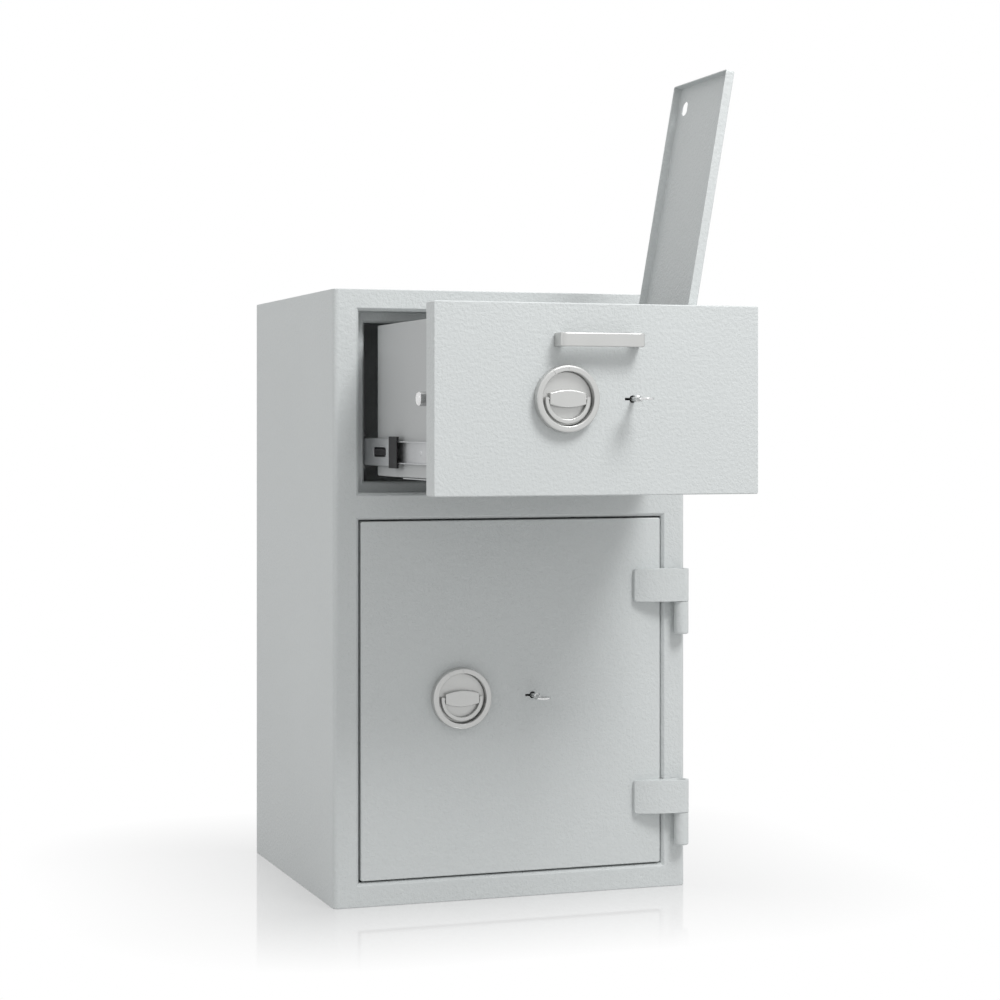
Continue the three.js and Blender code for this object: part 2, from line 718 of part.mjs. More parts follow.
  // A double-bitted key with a long round stem, standing in the lock with its bow level
  function key(face) {
    const bowEnd = face - keyReach;
    const bowOutline = new THREE.Shape();
    const middle = bowEnd + bowLength / 2;
    bowOutline.absellipse(keyX, middle, bowHalf, bowLength / 2, 0, Math.PI * 2, false, 0);
    const bow = prism('plan', bowOutline, knobZ - bowHalfSheet, knobZ + bowHalfSheet, 10)
      .subtract(rod('z', bowHoleRadius, knobZ - overrun, knobZ + overrun,
        [keyX, middle - bowLength / 8], 16));
    const stem = rod('y', keyStemRadius, bowEnd + bowLength - overrun, back + keyTip,
      [keyX, knobZ], 16);
    const reach = keyholeHalf - keyGap;
    const sheet = keyholeSlotHalf - keyGap;
    const bits = block(keyX - reach, keyX + reach, back + keyBitStart,
      back + keyBitStart + keyBitLength, knobZ - sheet, knobZ + sheet);
    const wards = joined([-1, 1].flatMap((side) => [0.3, 0.7].map((share) => {
      const y = back + keyBitStart + keyBitLength * share;
      const edge = keyX + side * reach;
      const depth = side * keyGap * 4;
      return block(Math.min(edge + depth, edge - depth), Math.max(edge + depth, edge - depth),
        y - keyGap, y + keyGap, knobZ - overrun, knobZ + overrun);
    })));
    return bow.add(stem).add(bits.subtract(wards));
  }

  return {
    keyX, barLow, pinPlaces, spindle, pinSlot, barPlate, lockNotches, bolt, boltGuide, stud,
    studSlot, lockCase, lockBolt, curtain, key,
  };
}

// Ring handle: a fixed ring with two marks, a turning dish with a lens-shaped bar, and a bail
const ringRadius = 41.2;
const ringInnerRadius = 33.5;
const ringHeight = 12;
const ringEdge = 1.6;
const dishRadius = 33;
const dishFloor = 3;
const lensHalf = 23.8;
const lensEndHalf = 7;
const lensCrown = 4;
const lensFront = 10.5;
const lensEdge = 0.8;
const bailRadius = 28;
const bailHalf = 2.4;
const bailHalfSheet = 2.1;
const bailAxisDepth = 7.2;
const bailPinRadius = 1.5;
const bailPinGap = 0.35;
const bailPinLength = 5;
const markWidth = 0.8;
const markDepth = 0.5;
const markLength = 5;

function handleRing(x, z, face) {
  const front = face - ringHeight;
  const seat = face - seam;
  const ring = turned([
    [ringInnerRadius, seat], [ringRadius, seat], [ringRadius, front + ringEdge],
    [ringRadius - ringEdge * 0.3, front + ringEdge * 0.3], [ringRadius - ringEdge, front],
    [ringInnerRadius + ringEdge, front], [ringInnerRadius + ringEdge * 0.3, front + ringEdge * 0.3],
    [ringInnerRadius, front + ringEdge],
  ], [x, z]);
  const marks = [0, knobTurn].map((turn) => {
    const mark = new THREE.BoxGeometry(markWidth, 2 * markDepth, markLength);
    mark.translate(0, front, (ringRadius + ringInnerRadius) / 2);
    mark.rotateY(THREE.MathUtils.degToRad(-turn));
    return solidOf(mark.translate(x, 0, z));
  });
  return ring.subtract(joined(marks));
}

function handleDish(x, z, face) {
  const floor = rod('y', dishRadius, face - dishFloor, face - seam, [x, z], 48);
  const lens = new THREE.Shape();
  lens.moveTo(x - lensHalf, z - lensEndHalf);
  lens.quadraticCurveTo(x, z - lensEndHalf - 2 * lensCrown, x + lensHalf, z - lensEndHalf);
  lens.lineTo(x + lensHalf, z + lensEndHalf);
  lens.quadraticCurveTo(x, z + lensEndHalf + 2 * lensCrown, x - lensHalf, z + lensEndHalf);
  lens.closePath();
  const bar = roundedPrism('front', lens, face - lensFront, face - seam, lensEdge, 10, 1);
  const holes = joined([-1, 1].map((side) => {
    const mouth = x + side * (lensHalf + overrun);
    const end = x + side * (lensHalf - bailPinLength - bailPinGap);
    return rod('x', bailPinRadius + bailPinGap, Math.min(mouth, end), Math.max(mouth, end),
      [face - bailAxisDepth, z], 12);
  }));
  return floor.add(bar).subtract(holes);
}

function handleBail(x, z, face) {
  const y = face - bailAxisDepth;
  const section = roundedRectangle(-bailHalf, bailHalf, -bailHalfSheet, bailHalfSheet, bailHalfSheet * 0.6);
  const steps = 18;
  const arc = Array.from({ length: steps + 1 }, (_, n) => {
    const angle = -Math.PI * n / steps;
    return new THREE.Vector3(x + bailRadius * Math.cos(angle), y, z + bailRadius * Math.sin(angle));
  });
  const half = new THREE.ExtrudeGeometry(section, {
    steps,
    curveSegments: 1,
    extrudePath: new THREE.CatmullRomCurve3(arc),
  });
  const solids = [solidOf(half)];
  for (const side of [-1, 1]) {
    const middle = x + side * bailRadius;
    solids.push(block(middle - bailHalf, middle + bailHalf, y - bailHalfSheet, y + bailHalfSheet,
      z - bailHalf, z + bailHalfSheet));
    const root = middle;
    const tip = x + side * (lensHalf - bailPinLength);
    solids.push(rod('x', bailPinRadius, Math.min(root, tip), Math.max(root, tip), [y, z], 12));
  }
  return joined(solids);
}

// Drawer front: a boxed panel, its back plate, and the bow handle
const panelSheet = 3;
const panelFaceSheet = 5;
const panelCorner = 2.5;
const panelEdge = 1.6;
const drawerKnobX = -45.5;
const drawerKnobRise = 0.5;
const drawerFrontTopGap = 2.2;
const drawerPanelHalf = openingHalf - drawerFrontGap;
const drawerPanelLow = drawerOpeningLow + drawerFrontGap;
const drawerPanelHigh = drawerOpeningHigh - drawerFrontTopGap;
const drawerKnobZ = (drawerPanelLow + drawerPanelHigh) / 2 + drawerKnobRise;
const drawerFace = drawerFrontBack - frontThickness;
const drawerLocks = lockSet(drawerKnobX, drawerKnobZ, drawerFrontBack, drawerKeyDistance);
const drawerKeyX = drawerLocks.keyX;

// A pan with a rounded front edge and turned-back sides, pierced for knob and key
function boxedFront(half, low, high, face, back, knob, keyX) {
  const outer = roundedPrism('front', roundedRectangle(-half, half, low, high, panelCorner),
    face, back + 4 * panelEdge, panelEdge, 4)
    .subtract(block(-half - overrun, half + overrun, back, back + 8 * panelEdge,
      low - overrun, high + overrun));
  const hollow = block(panelSheet - half, half - panelSheet, face + panelFaceSheet, back + overrun,
    low + panelSheet, high - panelSheet);
  const spindleHole = rod('y', spindleHoleRadius, face - overrun, back + overrun, knob);
  return outer.subtract(hollow).subtract(spindleHole)
    .subtract(keyholeCut(keyX, knob[1], face - overrun, back + overrun));
}

function piercedPlate(half, low, high, front, back, knob, keyX) {
  return block(-half, half, front, back, low, high)
    .subtract(rod('y', spindleHoleRadius, front - overrun, back + overrun, knob))
    .subtract(rod('y', curtainRadius + curtainGap, front - overrun, back + overrun,
      [keyX, knob[1]]));
}

const backPlateSheet = 4;

place('drawer_front_panel', boxedFront(drawerPanelHalf, drawerPanelLow, drawerPanelHigh,
  drawerFace, drawerFrontBack, [drawerKnobX, drawerKnobZ], drawerKeyX), texturedGrey);
const pullCentreX = -4;
const pullLength = 112;
const pullHeight = 17;
const pullReach = 24;
const pullBar = 8;
const pullLeg = 10;
const pullCorner = 9;
const pullEdge = 1.5;
const pullAboveKnob = 72;

function pullHandle() {
  const left = pullCentreX - pullLength / 2;
  const right = pullCentreX + pullLength / 2;
  const front = drawerFace - pullReach;
  const seat = drawerFace - seam;
  const inner = pullCorner / 2;
  const outline = new THREE.Shape();
  outline.moveTo(left, seat);
  outline.lineTo(left, front + pullCorner);
  outline.quadraticCurveTo(left, front, left + pullCorner, front);
  outline.lineTo(right - pullCorner, front);
  outline.quadraticCurveTo(right, front, right, front + pullCorner);
  outline.lineTo(right, seat);
  outline.lineTo(right - pullLeg, seat);
  outline.lineTo(right - pullLeg, front + pullBar + inner);
  outline.quadraticCurveTo(right - pullLeg, front + pullBar, right - pullLeg - inner, front + pullBar);
  outline.lineTo(left + pullLeg + inner, front + pullBar);
  outline.quadraticCurveTo(left + pullLeg, front + pullBar, left + pullLeg, front + pullBar + inner);
  outline.lineTo(left + pullLeg, seat);
  outline.closePath();
  const middle = drawerKnobZ + pullAboveKnob;
  const bow = roundedPrism('plan', outline, middle - pullHeight / 2, middle + pullHeight / 2,
    pullEdge, 6, 2);
  return bow.subtract(block(left - overrun, right + overrun, seat, seat + 2 * overrun,
    middle - pullHeight, middle + pullHeight));
}

place('drawer_pull_handle', pullHandle(), satinSilver);
place('drawer_handle_ring', handleRing(drawerKnobX, drawerKnobZ, drawerFace), satinSilver);
place('drawer_handle_dish', handleDish(drawerKnobX, drawerKnobZ, drawerFace), satinSilver);
place('drawer_bail', handleBail(drawerKnobX, drawerKnobZ, drawerFace), satinSilver);

// Hinges of the lid, along the tray, and of the trap, across it
const lidHingeInset = 52;
const lidHingeX = trayHalf - lidHingeInset;
const lidHingeDrop = 1.2;
const lidPinRadius = 1.5;
const lidKnuckleRadius = 2.8;
const lidSheet = 1.2;
const lidLip = 11;
const lidEdgeGap = 4;
const lidLength = lidHingeX + trayHalf - traySheet - lidEdgeGap;
const lidFrontGap = 2.4;
const lidDepth = 165;
const trayFront = drawerFrontBack + seam;
const trayRear = trayFront + trayLength;
const lidHingeZ = trayTop - lidHingeDrop;
const lidFront = trayFront + lidFrontGap;
const lidRear = lidFront + lidDepth;
const lidUnder = lidHingeZ + lidKnuckleRadius - lidSheet;
const knuckleCount = 5;
const knuckleGap = 0.6;
const lidHoleFromRear = 21.5;
const lidHoleFromEdge = 30;
const lidHoleRadius = 9.5;
const lidHoleHalf = 8;
const coverSheet = 1.2;
const coverGap = 2.4;
const trapSheet = 1.7;
const trapPinRadius = 1.6;
const trapKnuckleRadius = 3;
const trapPinZ = trayFloor - trapKnuckleRadius - runningGap;
const trapPinInset = 36;
const trapPinHalf = trapHalf - trapPinInset;
const trapKnuckleHalf = trapPinHalf / 6;

// Tray: folded sheet, open on top, with the drop opening in its floor
const trapOpeningMargin = 6;
const trapFloorHalf = trapHalf - trapOpeningMargin;
const trapFloorRear = trapHingeY - trapOpeningMargin;
const trapFloorFront = trapHingeY - trapLength + trapOpeningMargin;
const bendRadius = 2.5;

function tray() {
  const outline = new THREE.Shape();
  outline.moveTo(-trayHalf, trayTop);
  outline.lineTo(-trayHalf, trayFloor + bendRadius);
  outline.quadraticCurveTo(-trayHalf, trayFloor, bendRadius - trayHalf, trayFloor);
  outline.lineTo(trayHalf - bendRadius, trayFloor);
  outline.quadraticCurveTo(trayHalf, trayFloor, trayHalf, trayFloor + bendRadius);
  outline.lineTo(trayHalf, trayTop);
  outline.closePath();
  const inside = trayHalf - traySheet;
  const body = prism('front', outline, trayFront, trayRear, 3)
    .subtract(block(-inside, inside, trayFront - overrun, trayRear - traySheet,
      trayFloor + traySheet, trayTop + overrun));
  const drop = block(-trapFloorHalf, trapFloorHalf, trapFloorFront, trapFloorRear,
    trayFloor - overrun, trayFloor + traySheet + overrun);
  const bolts = rod('x', boltRadius + boltHoleGap, -trayHalf - overrun, trayHalf + overrun,
    [drawerFrontBack + boltDepth, drawerKnobZ]);
  return body.subtract(drop).subtract(bolts);
}

place('drawer_tray', tray(), innerGrey);

// A hinge's knuckles alternate along the pin; parity picks the lid's or the strip's
function lidKnuckles(parity) {
  const pitch = lidDepth / knuckleCount;
  const solids = [];
  for (let n = parity; n < knuckleCount; n += 2) {
    const low = lidFront + n * pitch + knuckleGap;
    const high = lidFront + (n + 1) * pitch - knuckleGap;
    solids.push(rod('y', lidKnuckleRadius, low, high, [lidHingeX, lidHingeZ], 16));
  }
  return joined(solids);
}

// The fixed cover carries the staked hinge pin and leaves the lid's opening free: a strip on the
// right, and the rear part
function trayCover() {
  const edge = trayHalf - traySheet - seam;
  const top = lidUnder;
  const under = top - coverSheet;
  const rear = block(-edge, edge, lidRear + coverGap, trayRear - traySheet - seam, under, top);
  const strip = block(lidHingeX, edge, trayFront, lidRear + coverGap + overrun, under, top);
  const roots = lidKnuckles(1);
  const relief = joined([0, 2, 4].map((n) => {
    const pitch = lidDepth / knuckleCount;
    return block(lidHingeX - 2 * lidKnuckleRadius, lidHingeX + lidKnuckleRadius + 2 * runningGap,
      lidFront + n * pitch - knuckleGap, lidFront + (n + 1) * pitch + knuckleGap,
      under - overrun, top + overrun);
  }));
  const flange = block(-edge, edge, lidRear + coverGap, lidRear + coverGap + coverSheet,
    under - lidLip, top);
  const pin = rod('y', lidPinRadius, lidFront + knuckleGap, lidRear - knuckleGap,
    [lidHingeX, lidHingeZ], 12);
  return joined([rear, strip, flange]).subtract(relief).add(roots).add(pin);
}

place('tray_top_cover', trayCover(), innerGrey);

// The lid is drawn closed and turned open about its pin
const lidGroup = new THREE.Group();
lidGroup.position.set(lidHingeX, 0, lidHingeZ);
lidGroup.rotation.y = THREE.MathUtils.degToRad(lidAngle);
model.add(lidGroup);

function drawerLid() {
  const under = lidUnder;
  const top = under + lidSheet;
  const edge = lidHingeX - lidLength;
  const sheet = block(edge, lidHingeX, lidFront, lidRear, under, top);
  const lips = joined([
    block(edge, edge + lidSheet, lidFront, lidRear, under - lidLip, top),
    block(edge, lidHingeX - 4 * lidKnuckleRadius, lidFront, lidFront + lidSheet, under - lidLip, top),
    block(edge, lidHingeX - 4 * lidKnuckleRadius, lidRear - lidSheet, lidRear, under - lidLip, top),
  ]);
  const holeX = edge + lidHoleFromEdge;
  const holeY = lidRear - lidHoleFromRear;
  const hole = rod('z', lidHoleRadius, under - overrun, top + overrun, [holeX, holeY])
    .intersect(block(holeX - lidHoleRadius, holeX + lidHoleRadius, holeY - lidHoleHalf,
      holeY + lidHoleHalf, under - overrun, top + overrun));
  const relief = joined([1, 3].map((n) => {
    const pitch = lidDepth / knuckleCount;
    return block(lidHingeX - 2 * lidKnuckleRadius, lidHingeX + overrun,
      lidFront + n * pitch - knuckleGap, lidFront + (n + 1) * pitch + knuckleGap,
      under - overrun, top + overrun);
  }));
  const lid = sheet.add(lips).subtract(hole).subtract(relief).add(lidKnuckles(0))
    .subtract(rod('y', lidPinRadius + runningGap, lidFront - overrun, lidRear + overrun,
      [lidHingeX, lidHingeZ], 12));
  return lid.translate([-lidHingeX, 0, -lidHingeZ]);
}

place('drawer_lid', drawerLid(), texturedGrey, lidGroup);

// Trap: a frame sheet under the tray's front part and a sprung flap that closes it from below
const trapFrameTop = trayFloor - seam;
const trapFrameUnder = trapFrameTop - trapSheet;
const trapSideGap = 1.5;

function trapFrame() {
  const rear = drawerFrontBack + trapFrameRear;
  const plate = block(-trayHalf, trayHalf, trayFront, rear,
    trapFrameUnder, trapFrameTop);
  const opening = block(-trapHalf - trapSideGap, trapHalf + trapSideGap,
    trapHingeY - trapLength - trapSideGap, rear + overrun, trapFrameUnder - overrun,
    trapFrameTop + overrun);
  const bridge = block(-trapHalf - 2 * overrun, trapHalf + 2 * overrun,
    trapHingeY + trapKnuckleRadius + runningGap, rear, trapFrameUnder, trapFrameTop);
  const ears = joined([-1, 1].map((side) => {
    const x = side * trapPinHalf;
    const ear = rod('x', trapKnuckleRadius, x - trapKnuckleHalf / 2, x + trapKnuckleHalf / 2,
      [trapHingeY, trapPinZ], 16);
    const web = block(x - trapKnuckleHalf / 2, x + trapKnuckleHalf / 2, trapHingeY,
      trapHingeY + trapKnuckleRadius + overrun, trapPinZ - trapKnuckleRadius,
      trapFrameUnder + trapSheet / 2);
    return ear.add(web);
  }));
  const pin = rod('x', trapPinRadius, -trapPinHalf, trapPinHalf, [trapHingeY, trapPinZ], 12);
  return joined([plate.subtract(opening), bridge, ears, pin]);
}

place('trap_frame', trapFrame(), innerGrey);

function trapFlap() {
  const plate = block(-trapHalf, trapHalf, trapHingeY - trapLength, trapHingeY,
    trapFrameUnder, trapFrameTop);
  const relief = joined([-1, 1].map((side) => block(
    side * trapPinHalf - trapKnuckleHalf / 2 - trapSideGap,
    side * trapPinHalf + trapKnuckleHalf / 2 + trapSideGap,
    trapHingeY - 2 * trapKnuckleRadius, trapHingeY + overrun,
    trapFrameUnder - overrun, trapFrameTop + overrun)));
  const knuckles = joined([-1, 0, 1].map((side) => {
    const x = side * (trapPinHalf - 2 * trapKnuckleHalf);
    const knuckle = rod('x', trapKnuckleRadius, x - trapKnuckleHalf, x + trapKnuckleHalf,
      [trapHingeY, trapPinZ], 16);
    const web = block(x - trapKnuckleHalf, x + trapKnuckleHalf, trapHingeY - 2 * trapKnuckleRadius,
      trapHingeY, trapPinZ, trapFrameUnder + trapSheet / 2);
    return knuckle.add(web);
  }));
  return plate.subtract(relief).add(knuckles)
    .subtract(rod('x', trapPinRadius + runningGap, -trapHalf - overrun, trapHalf + overrun,
      [trapHingeY, trapPinZ], 12));
}

place('trap_flap', trapFlap(), innerGrey);
// Boltwork of the drawer, behind a folded cover inside the tray
const boltCoverDrop = 12;
const coverFoot = 14;

function boltworkCover() {
  const outline = new THREE.Shape();
  const top = trayTop - boltCoverDrop;
  const floor = trayFloor + traySheet + seam;
  const near = trayFront;
  const far = drawerFrontBack + boltworkDepth;
  outline.moveTo(near, top);
  outline.lineTo(far, top);
  outline.lineTo(far, floor + coverSheet);
  outline.lineTo(far + coverFoot, floor + coverSheet);
  outline.lineTo(far + coverFoot, floor);
  outline.lineTo(far - coverSheet, floor);
  outline.lineTo(far - coverSheet, top - coverSheet);
  outline.lineTo(near, top - coverSheet);
  outline.closePath();
  const edge = trayHalf - traySheet - seam;
  const drop = block(-trapFloorHalf, trapFloorHalf, trapFloorFront, trapFloorRear,
    trayFloor - overrun, floor + 2 * overrun);
  return prism('side', outline, -edge, edge).subtract(drop);
}

place('boltwork_cover', boltworkCover(), innerGrey);
place('drawer_spindle', drawerLocks.spindle(drawerFace, ['top', 'bottom']), boltSteel);

const drawerBoltProud = 1;
const drawerBoltTip = openingHalf + drawerBoltProud;
const drawerStudInset = 52;
const barMargin = 5;
const drawerTongue = drawerBoltTip - boltLength + boltTongue - barMargin;
const drawerStudX = drawerTongue - drawerStudInset;
const drawerTopBarZ = drawerLocks.barLow + barHeight / 2;
const drawerLowBarZ = 2 * drawerKnobZ - drawerTopBarZ;
const crankWidth = 22;

// A flat cranked bar from the lever's pin to the slot in the rear of its bolt
function drawerBar(side) {
  const end = side > 0 ? 'top' : 'bottom';
  const way = side > 0 ? 1 : -1;
  const z = side > 0 ? drawerTopBarZ : drawerLowBarZ;
  const [pinX] = drawerLocks.pinPlaces[end];
  const start = pinX - side * (leverPinRadius + 2 * barMargin);
  const tongue = side * drawerTongue;
  const crank = tongue - side * crankWidth;
  const outline = new THREE.Shape();
  const half = barHeight / 2;
  const tongueHalf = boltRadius - runningGap;
  outline.moveTo(start, z - way * half);
  outline.lineTo(start, z + way * half);
  outline.lineTo(tongue, z + way * half);
  outline.lineTo(tongue, drawerKnobZ - way * tongueHalf);
  outline.lineTo(crank, drawerKnobZ - way * tongueHalf);
  outline.lineTo(crank, z - way * half);
  outline.closePath();
  let bar = drawerLocks.barPlate(outline).subtract(drawerLocks.pinSlot(end))
    .subtract(drawerLocks.studSlot(side * drawerStudX, z, -side));
  if (side > 0) {
    bar = bar.subtract(drawerLocks.lockNotches(1));
  }
  return bar;
}

place('drawer_bolt_left', drawerLocks.bolt(-1, drawerBoltTip, drawerKnobZ).add(drawerBar(-1)), boltSteel);
place('drawer_bolt_right', drawerLocks.bolt(1, drawerBoltTip, drawerKnobZ).add(drawerBar(1)), boltSteel);
const drawerGuideEdge = trayHalf - traySheet - seam;
place('drawer_back_plate', joined([
  piercedPlate(drawerPanelHalf - panelSheet - seam, drawerPanelLow + panelSheet + seam,
    drawerPanelHigh - panelSheet - seam, drawerFrontBack - backPlateSheet, drawerFrontBack,
    [drawerKnobX, drawerKnobZ], drawerKeyX),
  drawerLocks.boltGuide(-1, drawerGuideEdge, drawerKnobZ),
  drawerLocks.boltGuide(1, drawerGuideEdge, drawerKnobZ),
  drawerLocks.stud(-drawerStudX, drawerLowBarZ),
  drawerLocks.stud(drawerStudX, drawerTopBarZ),
]), innerGrey);
place('drawer_lock_case', drawerLocks.lockCase(), zincSteel);
place('drawer_lock_bolt', drawerLocks.lockBolt(), boltSteel);
place('drawer_lock_curtain', drawerLocks.curtain(), boltSteel);
place('drawer_key', drawerLocks.key(drawerFace), boltSteel);

// Door: boxed leaf, inner plate with the boltwork, and the cover over it
const doorHalf = openingHalf - doorGap;
const doorKnobShare = 0.35565;
const doorKnobX = -doorHalf * doorKnobShare;
const doorLow = doorOpeningLow + doorGap;
const doorHigh = doorOpeningHigh - doorGap;
const doorKnobZ = (doorLow + doorHigh) / 2;
const doorBack = frontFace + frontThickness;
const doorLocks = lockSet(doorKnobX, doorKnobZ, doorBack, doorKeyDistance);
const doorKeyX = doorLocks.keyX;
const doorCoverDepth = 36;
const doorCoverLeftGap = 6.5;
const doorCoverRightGap = 5;
const doorCoverLeft = lipHalf - doorCoverLeftGap;
const doorCoverRight = lipHalf - doorCoverRightGap;
const doorCoverEndGap = 5;
const doorCoverSheet = 1.5;
const doorCoverCorner = 4;
const doorBoltSpreadShare = 0.2726;
const doorBoltSpread = (doorHigh - doorLow) * doorBoltSpreadShare;
const doorBoltShort = 4;
const doorBoltTip = lipHalf - doorBoltShort;

place('door_leaf', boxedFront(doorHalf, doorLow, doorHigh, frontFace, doorBack,
  [doorKnobX, doorKnobZ], doorKeyX), texturedGrey);
function doorCover() {
  const low = doorOpeningLow + endLipWidth + doorCoverEndGap;
  const high = doorOpeningHigh - endLipWidth - doorCoverEndGap;
  const back = doorBack + doorCoverDepth;
  const outer = prism('front', roundedRectangle(-doorCoverLeft, doorCoverRight, low, high,
    doorCoverCorner), doorBack + seam, back, 3);
  const inner = prism('front', roundedRectangle(doorCoverSheet - doorCoverLeft,
    doorCoverRight - doorCoverSheet, low + doorCoverSheet, high - doorCoverSheet,
    doorCoverCorner - doorCoverSheet), doorBack - overrun, back - doorCoverSheet, 3);
  const holes = joined([-1, 1].map((way) => rod('x', boltRadius + boltHoleGap,
    -doorCoverLeft - overrun, -doorCoverLeft + overrun,
    [doorBack + boltDepth, doorKnobZ + way * doorBoltSpread])));
  return outer.subtract(inner).subtract(holes);
}

place('door_inner_cover', doorCover(), innerGrey);

// One upright bar carries both bolts; its arm reaches over the lock to the lever's pin
const doorBarZ = doorLocks.barLow + barHeight / 2;
const doorStudInset = 18.9;
const doorBarLeft = boltLength - boltTongue + barMargin - doorBoltTip;
const doorStudX = doorBarLeft + doorStudInset;

function doorBar() {
  const half = barHeight / 2;
  const right = doorBarLeft + crankWidth;
  const end = doorKeyX + lockBoltHalf + boltStroke + 2 * barMargin;
  const low = doorKnobZ - doorBoltSpread - boltRadius + runningGap;
  const high = doorKnobZ + doorBoltSpread + boltRadius - runningGap;
  const outline = new THREE.Shape();
  outline.moveTo(doorBarLeft, low);
  outline.lineTo(right, low);
  outline.lineTo(right, doorBarZ - half);
  outline.lineTo(end, doorBarZ - half);
  outline.lineTo(end, doorBarZ + half);
  outline.lineTo(right, doorBarZ + half);
  outline.lineTo(right, high);
  outline.lineTo(doorBarLeft, high);
  outline.closePath();
  return doorLocks.barPlate(outline).subtract(doorLocks.pinSlot('top'))
    .subtract(doorLocks.lockNotches(1)).subtract(doorLocks.studSlot(doorStudX, doorBarZ, -1));
}

place('door_bolt_bar', joined([
  doorBar(),
  doorLocks.bolt(-1, doorBoltTip, doorKnobZ - doorBoltSpread),
  doorLocks.bolt(-1, doorBoltTip, doorKnobZ + doorBoltSpread),
]), boltSteel);
const doorGuideEdge = doorCoverLeft - doorCoverSheet - seam;
place('door_inner_plate', joined([
  piercedPlate(doorHalf - panelSheet - seam, doorLow + panelSheet + seam,
    doorHigh - panelSheet - seam, doorBack - backPlateSheet, doorBack,
    [doorKnobX, doorKnobZ], doorKeyX),
  doorLocks.boltGuide(-1, doorGuideEdge, doorKnobZ - doorBoltSpread),
  doorLocks.boltGuide(-1, doorGuideEdge, doorKnobZ + doorBoltSpread),
  doorLocks.stud(doorStudX, doorBarZ),
]), innerGrey);
place('door_spindle', doorLocks.spindle(frontFace, ['top']), boltSteel);
place('door_lock_case', doorLocks.lockCase(), zincSteel);
place('door_lock_bolt', doorLocks.lockBolt(), boltSteel);
place('door_lock_curtain', doorLocks.curtain(), boltSteel);
place('door_key', doorLocks.key(frontFace), boltSteel);
place('door_handle_ring', handleRing(doorKnobX, doorKnobZ, frontFace), satinSilver);
place('door_handle_dish', handleDish(doorKnobX, doorKnobZ, frontFace), satinSilver);
place('door_bail', handleBail(doorKnobX, doorKnobZ, frontFace), satinSilver);

// Lift-off hinges: a curved strap with its bored knuckle on the door, a barrel with its pin below
const hingeAxisFromEdge = 10.5;
const hingeAxisProud = 11.5;
const knuckleRadius = 10.3;
const barrelRadius = 10;
const barrelEdge = 2.5;
const barrelHeight = 45;
const strapHeight = 45;
const strapReach = 67.5;
const strapEndSheet = 6;
const hingeSpreadShare = 0.30614;
const hingeSpread = (doorHigh - doorLow) * hingeSpreadShare;
const hingePinRadius = 6;
const hingePinShort = 8;
const washerGap = 0.5;
const padHalf = 5;
const strapCrownShare = 0.45;
const hingeX = halfWidth - hingeAxisFromEdge;
const strapLeft = hingeX - strapReach;
const hingeY = frontFace - hingeAxisProud;

function hingeStrap(low) {
  const seat = frontFace - seam;
  const crown = hingeY - knuckleRadius;
  const outline = new THREE.Shape();
  outline.moveTo(strapLeft, seat);
  outline.lineTo(strapLeft, seat - strapEndSheet);
  outline.quadraticCurveTo(strapLeft + (hingeX - strapLeft) * strapCrownShare, crown, hingeX, crown);
  outline.absarc(hingeX, hingeY, knuckleRadius, -Math.PI / 2, Math.PI / 2, false);
  outline.lineTo(doorHalf, seat);
  outline.closePath();
  return prism('plan', outline, low, low + strapHeight, 12)
    .subtract(rod('z', hingePinRadius + runningGap, low - overrun, low + strapHeight + overrun,
      [hingeX, hingeY]));
}

// The lower knuckle is welded to the frame and holds the pin that the strap is lifted off
function hingeBarrel(strapLow) {
  const top = strapLow - washerGap;
  const low = top - barrelHeight;
  const body = rod('z', barrelRadius, low + barrelEdge, top, [hingeX, hingeY])
    .add(rod('z', barrelRadius - barrelEdge, low, low + barrelEdge, [hingeX, hingeY], 20, barrelRadius));
  const pad = block(hingeX - padHalf, hingeX + padHalf, hingeY, frontFace - seam,
    low + barrelEdge, top - barrelEdge);
  const pin = rod('z', hingePinRadius, low + barrelEdge, strapLow + strapHeight - hingePinShort,
    [hingeX, hingeY]);
  return joined([body, pad, pin]);
}

const lowStrap = doorKnobZ - hingeSpread - strapHeight / 2;
const highStrap = doorKnobZ + hingeSpread - strapHeight / 2;
place('door_hinge_strap_upper', hingeStrap(highStrap), texturedGrey);
place('door_hinge_strap_lower', hingeStrap(lowStrap), texturedGrey);
place('hinge_barrel_upper', hingeBarrel(highStrap), texturedGrey);
place('hinge_barrel_lower', hingeBarrel(lowStrap), texturedGrey);

export default model;
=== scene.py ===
"""Drop safe with a deposit drawer, dressed piece by piece in the order it is put together.

Metres, +Z up, the front towards -Y. It stands open: drawer out, its lid up, the door closed.
"""

import collections
import json
import math

import bmesh
import bpy
from mathutils import Matrix, Vector

